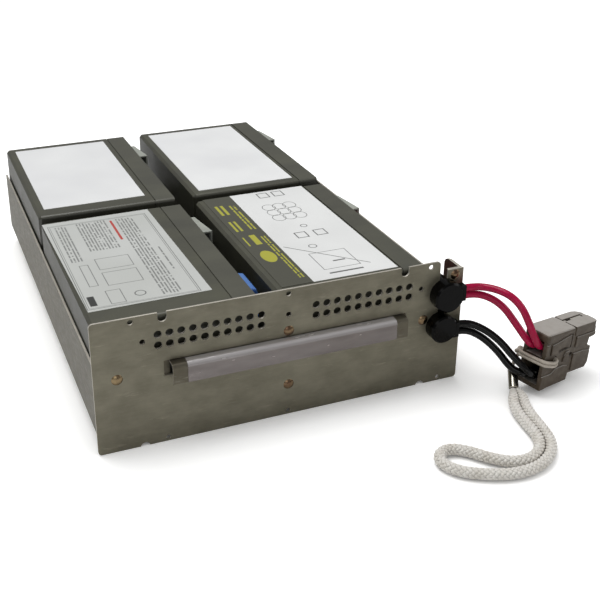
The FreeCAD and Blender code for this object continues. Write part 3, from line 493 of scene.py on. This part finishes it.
# The side and hollow colours are painted shade, and the top colour is painted light.
connector_shell = dust_and_shade_moulding("grey_polycarbonate", "#4b4033", "#a9a49e", "#26201b")
cover_plastic = plain_moulding("pale_grey_polypropylene", "#979a92", "#a5a89f", 0.45, IOR=1.49)
blue_vinyl = plain_moulding("blue_vinyl", "#3f69b0", "#5480c2", 0.38, IOR=1.53)
bushing_rubber = plain_moulding("glossy_black_rubber", "#020202", "#050505", 0.12, 2.5, 0.12,
                                IOR=1.45, Specular_IOR_Level=0.08, Coat_Weight=0.3,
                                Coat_IOR=1.25, Coat_Roughness=0.04)
rivet_steel = plain_moulding("brassy_rivet_steel", "#60463a", "#a4926f", 0.24, Metallic=1.0)
tinned_brass = plain_moulding("tinned_brass", "#c9c8c2", "#b8b6ae", 0.3, Metallic=1.0)
silver_plate = plain_moulding("silver_plated_copper", "#d8d6d0", "#c5c2b8", 0.26, Metallic=1.0)
drawn_steel = plain_moulding("bright_drawn_steel", "#a9a498", "#c2beb2", 0.2, Metallic=1.0)

for battery in BATTERIES:
    paint("battery_%s_cover" % battery, cover_plastic)
    paint("battery_%s_tab" % battery, tinned_brass)
for name in ("cable_bushing_upper", "cable_bushing_lower"):
    paint(name, bushing_rubber)
for name in ("contact_upper", "contact_lower"):
    paint(name, silver_plate)
paint("connector_housing", connector_shell)
paint("rope_sleeve", drawn_steel)
for name in ("handle_rivet_left", "handle_rivet_right", "handle_rivet_middle", "tray_rivet",
             "bracket_rivet"):
    paint(name, rivet_steel)

# %% [markdown]
# ## The connector's moulded relief
#
# The measured shell has the connector's large shape. A moulding has more on it: a cap that wraps
# over the top with a rounded edge, raised panels on its wide side with grooves between them, and
# a shorter cap with a spring groove on the mating half. Each of them is an outline in the
# connector's own frame, made thick and then bevelled so that its edges catch the light.

# %% Raised panels and caps
def upright(u, w, v):
    """A point of an outline drawn on the connector's wide side."""
    return on_connector(u, v, w)


def slab(mesh, outline, low, high, soft, spot=upright):
    """Adds a bevelled slab between two levels. spot places each point of the outline."""
    ends = [[mesh.verts.new(spot(a, b, level)) for a, b in outline] for level in (low, high)]
    faces = [mesh.faces.new(ends[0]), mesh.faces.new(list(reversed(ends[1])))]
    for index in range(len(outline)):
        after = (index + 1) % len(outline)
        faces.append(mesh.faces.new((ends[0][index], ends[1][index], ends[1][after],
                                     ends[0][after])))
    edges = list({edge for face in faces for edge in face.edges})
    bmesh.ops.recalc_face_normals(mesh, faces=faces)
    bmesh.ops.bevel(mesh, geom=edges, offset=soft * MM, segments=3, profile=0.5,
                    affect="EDGES", clamp_overlap=True)


def moulded_piece(name, mesh, material):
    """An object of this bmesh that rides on the cartridge."""
    data = bpy.data.meshes.new(name)
    mesh.to_mesh(data)
    mesh.free()
    made = bpy.data.objects.new(name, data)
    bpy.context.collection.objects.link(made)
    made.data.materials.append(material)
    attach(made, "root")
    return made


relief = bmesh.new()
# The cap over the cable end, with its wavy lower line, then the mating half: a strip on each
# side of the spring groove, and the groove's floor.
slab(relief, [(-0.3, 31.2), (7.0, 30.9), (13.0, 32.6), (19.0, 33.6), (25.2, 33.9),
              (25.2, 37.3), (-0.3, 37.4)], -1.0, 16.7, 1.5)
slab(relief, [(26.6, -0.5), (45.6, -0.5), (47.2, 0.2), (48.0, 2.0), (48.2, 5.0), (48.2, 8.4),
              (26.6, 8.4)], 30.6, 36.9, 0.5, on_connector)
slab(relief, [(26.6, 10.9), (48.0, 10.9), (47.0, 13.4), (45.0, 15.4), (42.0, 16.5),
              (26.6, 16.5)], 30.6, 36.9, 0.5, on_connector)
slab(relief, [(26.6, 8.0), (46.0, 8.0), (46.0, 11.2), (26.6, 11.2)], 30.8, 35.0, 0.3, on_connector)
slab(relief, [(44.6, 7.8), (48.2, 7.8), (48.0, 11.4), (44.6, 11.4)], 30.8, 36.6, 0.4, on_connector)
# Panels on the wide side that faces forward: the frame of the ports, then front to back.
PANELS = [
    [(-0.1, 22.6), (3.0, 22.6), (3.0, 30.2), (-0.1, 30.4)],
    [(-0.1, 0.0), (3.4, 0.2), (14.0, 1.8), (24.0, 2.0), (24.0, 11.6), (20.0, 12.6),
     (12.6, 12.2), (9.0, 9.6), (-0.1, 9.4)],
    [(5.0, 22.4), (10.4, 22.4), (12.0, 25.0), (18.0, 25.6), (22.0, 24.0), (23.2, 26.0),
     (23.2, 32.6), (17.0, 31.6), (11.0, 30.2), (5.0, 29.4)],
    [(18.0, 15.0), (23.6, 15.4), (23.6, 21.6), (20.4, 21.6), (18.8, 19.0)],
    [(28.6, 22.4), (41.0, 22.4), (41.6, 26.8), (47.2, 27.4), (47.2, 29.6), (28.6, 29.6)],
    [(28.0, 6.6), (42.4, 6.6), (44.8, 9.2), (44.8, 17.2), (38.0, 18.6), (28.0, 18.6)]]
for panel in PANELS:
    slab(relief, panel, -0.8, 0.3, 0.5)
relief_piece = moulded_piece("connector_relief", relief, connector_shell)

# A pale spring leaf lies in the groove.
leaf = bmesh.new()
slab(leaf, [(34.0, 8.7), (44.0, 8.7), (44.0, 10.6), (34.0, 10.6)], 34.8, 36.2, 0.25, on_connector)
leaf_piece = moulded_piece("spring_leaf", leaf, plain_moulding(
    "pale_spring_leaf", "#a8a49b", "#b9b5ac", 0.35))

# %% [markdown]
# ## The blue sleeve
#
# The vinyl sleeve in the gap between the front batteries is dipped, not cut: every edge is round,
# one long edge is folded in, and its near end is pinched narrower than the rest.

# %% Blue sleeve
def across_plate(x, z, y):
    """A point of an outline drawn facing forward on the cartridge."""
    return from_plate(x, y, z)


vinyl = bmesh.new()
slab(vinyl, [(96.3, 50.0), (103.2, 50.0), (103.4, 70.5), (101.8, 75.0), (96.3, 76.0)],
     20.0, 43.0, 0.9, across_plate)
slab(vinyl, [(96.5, 55.0), (100.6, 55.0), (100.8, 70.0), (99.6, 73.6), (96.5, 74.6)],
     13.5, 21.0, 0.9, across_plate)
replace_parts(moulded_piece("blue_vinyl_sleeve", vinyl, blue_vinyl),
            "terminal_sleeve")

# %% [markdown]
# ## Cables
#
# The cables are flexible wire in soft insulation. Each leaves its bushing straight, sinks in one
# curve and goes into a port of the connector. A NURBS curve draws that well: it is smooth through
# its whole length and passes inside the corners of its control points, as a real cable would. The
# curve's bevel gives the round insulation.

# %% Cable maker
def insulation(name, first, second, roughness, **constants):
    """The soft outer layer of a cable."""
    return plain_moulding(name, first, second, roughness, 1.2, 0.04, IOR=1.46, **constants)


crimson = insulation("crimson_silicone", "#a0083a", "#b01044", 0.24,
                     Specular_IOR_Level=0.25, Coat_Weight=0.3, Coat_IOR=1.3,
                     Coat_Roughness=0.12)
black_insulation = insulation("black_silicone", "#020202", "#040404", 0.16,
                              Specular_IOR_Level=0.15, Coat_Weight=0.6, Coat_IOR=1.3,
                              Coat_Roughness=0.06)


def route_curve(name, points, diameter=None):
    """An open NURBS curve with these control points, round if it has a diameter."""
    curve = bpy.data.curves.new(name, "CURVE")
    curve.dimensions, curve.resolution_u = "3D", 16
    spline = curve.splines.new("NURBS")
    spline.points.add(len(points) - 1)
    for control, point in zip(spline.points, points):
        control.co = (*point, 1.0)
    spline.order_u, spline.use_endpoint_u = 3, True
    if diameter:
        curve.bevel_depth, curve.bevel_resolution = diameter / 2, 8
        curve.use_fill_caps = True
    made = bpy.data.objects.new(name, curve)
    bpy.context.collection.objects.link(made)
    return made


def route_points(made):
    """The points along a curve's centre line, as it is drawn."""
    bare = made.copy()
    bare.data = made.data.copy()
    bare.data.bevel_depth = 0
    mesh = bpy.data.meshes.new_from_object(bare)
    points = [v.co.copy() for v in mesh.vertices]
    for item, owner in ((bare.data, bpy.data.curves), (mesh, bpy.data.meshes)):
        owner.remove(item)
    return points


def length_of(points):
    return sum((b - a).length for a, b in zip(points, points[1:]))


def cable(name, points, diameter_mm, material):
    """A smooth cable that stands for the measured solid of the same name."""
    made = route_curve(name + "_cable", points, diameter_mm * MM)
    made.data.materials.append(material)
    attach(made, "root")
    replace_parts(made, name)
    long = length_of(route_points(made))
    print("%-22s %.1f mm" % (name, long / MM))


# %% The four cables to the connector
CABLE = 4.5                     # diameter, mm
RED_EXIT, BLACK_EXIT = 225.3, 222.3
CRIMP = 11.0                    # where a contact's barrel starts, from the cable end

ROUTES = {
    "cable_red_upper": [
        from_plate(RED_EXIT, -5, 64.2), from_plate(232.6, -5, 64.2),
        from_plate(241.2, -12.4, 64.4), from_plate(246.8, -21.6, 63.0),
        from_plate(250.6, -28.2, 57.8), from_plate(253.6, -31.8, 49.6),
        on_connector(-4.2, 5.6, 32.0), on_connector(3.0, 5.6, 25.2),
        on_connector(CRIMP, 5.4, 26.4)],
    "cable_red_lower": [
        from_plate(RED_EXIT, -5, 59.4), from_plate(232.4, -5, 59.4),
        from_plate(240.6, -9.4, 57.4), from_plate(247.0, -15.6, 52.6),
        from_plate(251.6, -22.2, 44.0), on_connector(-4.8, 10.6, 29.8),
        on_connector(3.0, 10.6, 24.6), on_connector(CRIMP, 10.6, 26.0)],
    "cable_black_upper": [
        from_plate(BLACK_EXIT, -5, 40.3), from_plate(228.8, -5, 40.3),
        from_plate(236.2, -12.0, 38.2), from_plate(242.8, -20.8, 33.0),
        from_plate(248.4, -29.0, 24.2), on_connector(-4.4, 5.8, 11.2),
        on_connector(3.0, 5.8, 6.6), on_connector(CRIMP, 5.4, 8.2)],
    "cable_black_lower": [
        from_plate(BLACK_EXIT, -5, 35.5), from_plate(228.8, -5, 35.5),
        from_plate(237.2, -10.6, 31.4), from_plate(243.8, -18.0, 24.4),
        from_plate(249.0, -26.0, 15.0), on_connector(-3.6, 10.6, 7.8),
        on_connector(3.0, 10.6, 6.2), on_connector(CRIMP, 10.6, 8.0)],
}
for name, points in ROUTES.items():
    red = "red" in name
    cable(name, points, CABLE, crimson if red else black_insulation)

# %% [markdown]
# ## Leads inside
#
# Three thinner leads join the batteries to each other and to the bushings. They lie in the gaps
# beside the batteries, so they run nearly straight, and both their ends are held.

# %% The three leads
LEAD = 4.0
BUSHING_BACK = 16.0             # how far the bushings reach behind the plate's face


def tab_of(battery):
    """Where a lead meets the near side of a battery's tab."""
    low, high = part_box("battery_%s_tab" % battery)
    return Vector(((low.x + high.x) / 2, low.y, (low.z + high.z) / 2))


red_tab, black_tab, link_tab = (tab_of(b) for b in ("front_right", "rear_right", "front_left"))


def beside(tab, x_mm, y_mm, z=None):
    """A point near a tab: x shifted from it, y from the plate, z its own unless given."""
    return Vector((tab.x + x_mm * MM, plate_corner.y + y_mm * MM,
                   tab.z if z is None else plate_corner.z + z * MM))


cable("lead_positive", [
    from_plate(214.5, BUSHING_BACK, 62.0), from_plate(214.5, 55, 62.0),
    beside(red_tab, 0, 92), red_tab], LEAD, crimson)
cable("lead_negative", [
    from_plate(212.3, BUSHING_BACK, 39.4), from_plate(212.3, 75, 39.4),
    from_plate(214.2, 135, 40.0), from_plate(214.2, 190, 44.0),
    beside(black_tab, 2.5, 235, 60.0), beside(black_tab, 0, 262), black_tab],
    LEAD, black_insulation)
cable("lead_link", [
    from_plate(99.6, 52.0, 64.0), from_plate(99.6, 75, 64.0),
    beside(link_tab, 0, 98), link_tab], LEAD, black_insulation)

# %% [markdown]
# ## The braided rope
#
# The pull rope is a braid: twelve flat bundles of yarn, six winding each way round a core, each
# passing over one bundle and under the next. Drawn as a bump on a tube it would look printed, so
# the bundles are real. Geometry Nodes suit this well, because every bundle follows the same rule
# along the same route. Each strand starts as a line of points, is laid along the route at an
# angle that grows with the distance, and rises and falls by a wave that is half a beat out of
# step between the two directions.

# %% The rope's route
ROPE = 6.8
LIE = ROPE / 2 + 0.1            # height of the middle of the rope above the bench
STRANDS, STEPS = 12, 640        # bundles, and points along each of them
PITCH = 17.5                    # length of one full turn of a bundle, mm
BUNDLE_WIDTH, BUNDLE_HEIGHT = 2.15, 1.3
TAPER = 9.0                     # how far from each end the sleeve squeezes the rope, mm
ROPE_WAY = [
    (247.6, -32.4), (244.0, -38.2), (239.6, -44.6), (236.2, -53.6), (234.4, -65.0), (233.2, -77.4),
    (227.8, -88.0), (217.4, -94.0), (206.0, -92.6), (196.4, -84.4), (189.4, -75.0),
    (180.6, -69.0), (172.4, -71.8), (169.8, -80.0), (175.6, -89.4), (187.0, -96.6),
    (201.0, -101.8), (215.0, -101.8), (227.6, -96.4), (237.0, -85.8), (240.6, -71.6),
    (242.2, -58.4), (245.4, -47.0), (249.6, -39.0), (250.2, -32.8)]
rope_route = route_curve("rope_route", [from_plate(px, py, LIE) for px, py in ROPE_WAY])
rope_path = route_points(rope_route)
print("rope %.1f mm in %d points" % (length_of(rope_path) / MM, len(rope_path)))

# %% Rope material
def braid_yarn():
    """White polyester yarn, a little soiled, with its filaments running along each bundle, and
    painted shade in the gaps between bundles.
    """
    material, put, shader = new_material(
        "white_polyester_yarn", Roughness=0.78, Sheen_Weight=0.35, Sheen_Roughness=0.5)
    at = put("TexCoord").outputs["Object"]
    soil = put("TexNoise", [at, PER_MM / 7, 4, 0.55])
    yarn = put("Mix RGBA", [put("MapRange", [soil, 0.3, 0.62, 0, 1]), "#dcd7ce", "#ece9e3"])
    openness_for_painted_shade = put("AmbientOcclusion", {"Distance": 1.3 * MM}, samples=8).outputs["AO"]
    # Painted shade in the gaps between the bundles.
    painted_gap_shade = put("MapRange", [openness_for_painted_shade, 0.2, 0.8, 0.9, 0])
    filaments = put("TexNoise", [at, PER_MM / 0.45, 3, 0.55])
    fill(shader, {"Base Color": put("Mix RGBA", [painted_gap_shade, yarn, "#80786b"]),
                  "Normal": put("Bump", {"Height": filaments, "Distance": 0.08 * MM,
                                         "Strength": 0.6})})
    return material


rope_yarn = braid_yarn()


# %% The braid as a node tree
def braid_tree(material):
    """Geometry nodes that lay strands on a curve as a diamond braid."""
    tree = bpy.data.node_groups.new("diamond_braid", "GeometryNodeTree")
    face = tree.interface
    face.new_socket("Route", in_out="INPUT", socket_type="NodeSocketGeometry")
    for name, kind in (("Strands", "Int"), ("Steps", "Int"), ("Radius", "Float"),
                       ("Pitch", "Float"), ("Bundle Width", "Float"),
                       ("Bundle Height", "Float"), ("Taper", "Float")):
        face.new_socket(name, in_out="INPUT", socket_type="NodeSocket" + kind)
    face.new_socket("Braid", in_out="OUTPUT", socket_type="NodeSocketGeometry")
    put = partial(add, tree)
    given = put("NodeGroupInput").outputs

    def line_of(point):
        """The number of the strand that a point belongs to."""
        return put("Math FLOOR", [put("Math DIVIDE", [put("Math ADD", [point, 0.5]),
                                                      given["Steps"]])])

    # One long line of points: strand number is index // steps, place along it index % steps.
    count = put("Math MULTIPLY", [given["Strands"], given["Steps"]])
    line = put("GeometryNodeMeshLine", {"Count": count})
    index = put("GeometryNodeInputIndex").outputs[0]
    strand = line_of(index)
    step = put("Math SUBTRACT", [index, put("Math MULTIPLY", [strand, given["Steps"]])])
    share = put("Math DIVIDE", [step, put("Math SUBTRACT", [given["Steps"], 1.0])])
    sample = put("GeometryNodeSampleCurve", {"Curves": given["Route"], "Factor": share},
                 mode="FACTOR")
    long = put("GeometryNodeCurveLength", {0: given["Route"]}).outputs[0]
    run = put("Math MULTIPLY", [share, long])

    # Even strands wind one way and odd ones the other.
    odd = put("Math MODULO", [strand, 2.0])
    way = put("Math SUBTRACT", [1.0, put("Math MULTIPLY", [odd, 2.0])])
    half = put("Math FLOOR", [put("Math DIVIDE", [strand, 2.0])])
    spacing = put("Math DIVIDE", [4 * math.pi, given["Strands"]])
    turn = put("Math MULTIPLY", [put("Math DIVIDE", [run, given["Pitch"]]), 2 * math.pi])
    angle = put("Math ADD", [put("Math MULTIPLY", [turn, way]),
                             put("Math MULTIPLY", [half, spacing])])

    # Over and under: the wave beats once for each strand met of the other direction.
    beat = put("Math MULTIPLY", [turn, put("Math DIVIDE", [given["Strands"], 2.0])])
    wave = put("Math COSINE", [put("Math ADD", [beat, put("Math MULTIPLY", [odd, math.pi])])])
    lift = put("Math MULTIPLY", [put("Math MULTIPLY", [wave, given["Bundle Height"]]), 0.5])
    edge = put("Math SUBTRACT", [given["Radius"], given["Bundle Height"]])

    # Both ends narrow over the taper, where the sleeve squeezes them together.
    def squeezed(way_along):
        from_end = put("Math MINIMUM", [way_along, put("Math SUBTRACT", [long, way_along])])
        room = put("Math MINIMUM", [put("Math DIVIDE", [from_end, given["Taper"]]), 1.0])
        eased = put("Math SMOOTH_MIN", [room, 1.0, 0.3])
        return put("Math ADD", [0.5, put("Math MULTIPLY", [eased, 0.5])])

    away = put("Math MULTIPLY", [put("Math ADD", [edge, lift]), squeezed(run)])

    across = put("VectorMath CROSS_PRODUCT", [sample.outputs["Normal"], sample.outputs["Tangent"]])
    first = put("VectorMath SCALE", [sample.outputs["Normal"], put("Math COSINE", [angle])])
    second = put("VectorMath SCALE", [across, put("Math SINE", [angle])])
    outward = put("VectorMath ADD", [first, second])
    offset = put("VectorMath SCALE", [outward, away])
    spot = put("VectorMath ADD", [sample.outputs["Position"], offset])
    laid = put("GeometryNodeSetPosition", {"Geometry": line, "Position": spot})

    # Cut the long line between strands, make each a curve whose normal points outwards, and
    # give it a flat oval section.
    stored = put("GeometryNodeStoreNamedAttribute", {
        "Geometry": laid, "Name": "outward", "Value": outward},
        data_type="FLOAT_VECTOR", domain="POINT")
    ends = put("GeometryNodeInputMeshEdgeVertices")
    same = put("Math COMPARE", [line_of(ends.outputs[0]), line_of(ends.outputs[1]), 0.1])
    cut = put("GeometryNodeDeleteGeometry", {
        "Geometry": stored, "Selection": put("Math SUBTRACT", [1.0, same])},
        domain="EDGE", mode="EDGE_FACE")
    strands = put("GeometryNodeMeshToCurve", {0: cut})
    facing = put("GeometryNodeInputNamedAttribute", {"Name": "outward"},
                 data_type="FLOAT_VECTOR")
    upright = put("GeometryNodeSetCurveNormal", {
        "Curve": strands, "Normal": facing.outputs[0]}, mode="FREE")
    ring = put("GeometryNodeCurvePrimitiveCircle", {
        "Resolution": 10, "Radius": 1.0}, mode="RADIUS")
    wide = put("CombineXYZ", {0: put("Math MULTIPLY", [given["Bundle Height"], 0.5]),
                              1: put("Math MULTIPLY", [given["Bundle Width"], 0.5]), 2: 1.0})
    oval = put("GeometryNodeTransform", {"Geometry": ring, "Scale": wide})
    solid = put("GeometryNodeCurveToMesh", {
        "Curve": upright, "Profile Curve": oval, "Fill Caps": True})
    core_ring = put("GeometryNodeCurvePrimitiveCircle", {
        "Resolution": 12, "Radius": edge}, mode="RADIUS")
    core_way = put("GeometryNodeSetCurveRadius", {
        "Curve": given["Route"],
        "Radius": squeezed(put("GeometryNodeSplineParameter").outputs["Length"])})
    core = put("GeometryNodeCurveToMesh", {
        "Curve": core_way, "Profile Curve": core_ring, "Fill Caps": True})
    both = put("GeometryNodeJoinGeometry")
    for part in (core, solid):
        tree.links.new(part.outputs[0], both.inputs[0])
    whole = put("GeometryNodeRealizeInstances", {0: both.outputs[0]})
    smooth = put("GeometryNodeSetShadeSmooth", {0: whole})
    dressed = put("GeometryNodeSetMaterial", {"Geometry": smooth, "Material": material})
    put("NodeGroupOutput", {0: dressed})
    return tree


def run_tree(owner, tree, name, **inputs):
    """Runs a node tree on an object and returns its result as a plain mesh object."""
    modifier = owner.modifiers.new(tree.name, "NODES")
    modifier.node_group = tree
    sockets = {item.name: item.identifier for item in tree.interface.items_tree
               if item.in_out == "INPUT"}
    for label, value in inputs.items():
        modifier[sockets[label.replace("_", " ")]] = value
    mesh = bpy.data.meshes.new_from_object(
        owner.evaluated_get(bpy.context.evaluated_depsgraph_get()))
    owner.modifiers.remove(modifier)
    mesh.name = name
    made = bpy.data.objects.new(name, mesh)
    bpy.context.collection.objects.link(made)
    return made


# %% Make the rope
rope = run_tree(rope_route, braid_tree(rope_yarn), "braided_rope", Strands=STRANDS,
                Steps=STEPS, Radius=ROPE / 2 * MM, Pitch=PITCH * MM,
                Bundle_Width=BUNDLE_WIDTH * MM, Bundle_Height=BUNDLE_HEIGHT * MM,
                Taper=TAPER * MM)
bpy.data.objects.remove(rope_route)
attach(rope, "root")
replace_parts(rope, "pull_rope")
print("rope: %d faces" % len(rope.data.polygons))

# %% [markdown]
# ## The cord on the connector
#
# A thin beige cord takes two turns round the bar between the connector's ports and goes down into
# the steel sleeve that holds the rope's ends. Pulled tight, it still has its own thickness, so it
# rounds every corner. Its knot is a trefoil, the simplest knot there is, and sines and cosines
# write its line.

# %% The tie and its knot
TIE = 2.0                       # diameter, mm
BAR = 18.4                      # height of the bar's middle on the connector
SLOT_AT = 10.6                  # the slot's place along the connector
FAR_SIDE, NEAR_SIDE = 17.6, -1.7
KNOT_AT = (1.0, 18.6, 18.1)
TURN_RISE = 1.1                 # how far each turn lies above or below the bar's middle
tie_cord = plain_moulding("beige_laid_cord", "#a89f92", "#bfb6a9", 0.45, 0.6, 0.10, IOR=1.48)


def turn_round_bar(rise):
    """Control points of one turn, which starts and ends at the far side."""
    height = BAR + rise
    return [on_connector(5.0, FAR_SIDE, height), on_connector(SLOT_AT, FAR_SIDE - 0.4, height),
            on_connector(SLOT_AT + 0.4, 8.0, height - 0.3),
            on_connector(SLOT_AT + 0.9, NEAR_SIDE + 0.5, height - 0.6),
            on_connector(SLOT_AT - 1.6, NEAR_SIDE - 0.6, height - 1.9),
            on_connector(4.2, NEAR_SIDE - 0.2, height - 0.9),
            on_connector(-1.2, NEAR_SIDE - 0.1, height + 0.7),
            on_connector(-2.0, 3.0, height + 0.9), on_connector(-1.9, 13.0, height + 0.2),
            on_connector(-1.2, FAR_SIDE + 0.2, height)]


sleeve_low, sleeve_high = from_plate(248.5, -31.5, 4.1), from_plate(253.6, -21.5, 12.1)
sleeve_way = (sleeve_high - sleeve_low).normalized()
TIE_WAY = ([sleeve_high - sleeve_way * 2 * MM, sleeve_high + sleeve_way * 3 * MM,
            on_connector(*KNOT_AT)] + turn_round_bar(TURN_RISE) + turn_round_bar(-TURN_RISE)
           + [on_connector(*KNOT_AT)])

knot_curve = bpy.data.curves.new("tie_knot", "CURVE")
knot_curve.dimensions, knot_curve.resolution_u = "3D", 8
knot_curve.bevel_depth, knot_curve.bevel_resolution = TIE / 2 * MM, 5
loops = knot_curve.splines.new("NURBS")
KNOT_STEPS, KNOT_SIZE = 30, 0.85
loops.points.add(KNOT_STEPS - 1)
for step, control in enumerate(loops.points):
    t = 2 * math.pi * step / KNOT_STEPS
    spot = Vector((math.sin(t) + 2 * math.sin(2 * t), math.cos(t) - 2 * math.cos(2 * t),
                   -1.3 * math.sin(3 * t))) * KNOT_SIZE
    control.co = (*on_connector(KNOT_AT[0] + spot.x, KNOT_AT[1] + spot.z + 0.4,
                                KNOT_AT[2] + spot.y), 1.0)
loops.order_u, loops.use_cyclic_u = 4, True
knot = bpy.data.objects.new("tie_knot", knot_curve)
bpy.context.collection.objects.link(knot)
knot.data.materials.append(tie_cord)
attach(knot, "root")

tie = route_curve("tie_cord", TIE_WAY, TIE * MM)
tie.data.materials.append(tie_cord)
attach(tie, "root")
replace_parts(tie, "connector_tie")
tie_length = length_of(route_points(tie))
print("tie %.1f mm" % (tie_length / MM))

# %% [markdown]
# ## Floor, light and world
#
# The object stands on a plain white bench in soft light: one wide lamp overhead and to the left,
# one low and wide in front, and a weak one at the right. The world is white where the camera sees
# it, also through a clear material, and gives the object only a weak light.

# %% Floor
BENCH_GLOW = 0.55               # the bench's own light, seen by the camera alone
BENCH_HALF, BENCH_DROP = 6.0, 0.0002    # half its width and its depth under the object, m


def floor_material():
    """White laminate that glows white to the camera, with the glow faded close to what stands on it
    as a painted shadow.
    """
    material, put, shader = new_material("white_bench", Roughness=0.9, Specular_IOR_Level=0.1)
    seen = put("LightPath").outputs["Is Camera Ray"]
    glow = put("MapRange", [seen, 0, 1, 0, BENCH_GLOW])
    # Painted shadow: the glow fades where the bench is hidden by what stands on it.
    openness_for_painted_shade = put("AmbientOcclusion", {"Distance": 70 * MM}, samples=8).outputs["AO"]
    fill(shader, {"Base Color": "#f4f4f3", "Emission Color": "#ffffff",
                  "Emission Strength": put("Math MULTIPLY", [glow, openness_for_painted_shade])})
    return material


floor_mesh = bpy.data.meshes.new("bench")
sheet = bmesh.new()
bmesh.ops.create_grid(sheet, x_segments=1, y_segments=1, size=BENCH_HALF)
sheet.to_mesh(floor_mesh)
sheet.free()
bench = bpy.data.objects.new("bench", floor_mesh)
bpy.context.collection.objects.link(bench)
bench.location.z = cad_low.z - BENCH_DROP
bench.data.materials.append(floor_material())

# %% Lamps and world
def lamp(name, spot, aim, size, power):
    """A round soft lamp. Places and size are in metres, power in watts."""
    data = bpy.data.lights.new(name, "AREA")
    data.shape, data.size, data.energy = "DISK", size, power
    made = bpy.data.objects.new(name, data)
    bpy.context.collection.objects.link(made)
    made.location = spot
    made.rotation_mode = "QUATERNION"
    made.rotation_quaternion = (Vector(aim) - Vector(spot)).to_track_quat("-Z", "Y")


lamp("softbox_overhead", spot=(-0.25, 0.25, 1.5), aim=(0, 0, 0), size=1.2, power=17)
lamp("softbox_front", spot=(-0.5, -1.4, 0.75), aim=(0, 0, 0.03), size=0.9, power=2.2)
lamp("softbox_right", spot=(1.3, -0.5, 0.7), aim=(0.05, 0, 0.02), size=0.7, power=2)

SKY_LIGHT = 0.30                # the world's light on the object; the camera sees it at 1
world = bpy.data.worlds.new("studio")
bpy.context.scene.world = world
world.use_nodes = True
put = partial(add, world.node_tree)
rays = put("LightPath")
seen = put("Math MAXIMUM", [rays.outputs["Is Camera Ray"], rays.outputs["Is Transmission Ray"]])
fill(world.node_tree.nodes["Background"], {
    "Color": "#ffffff", "Strength": put("MapRange", [seen, 0, 1, SKY_LIGHT, 1])})
bpy.context.scene.view_settings.view_transform = "Standard"
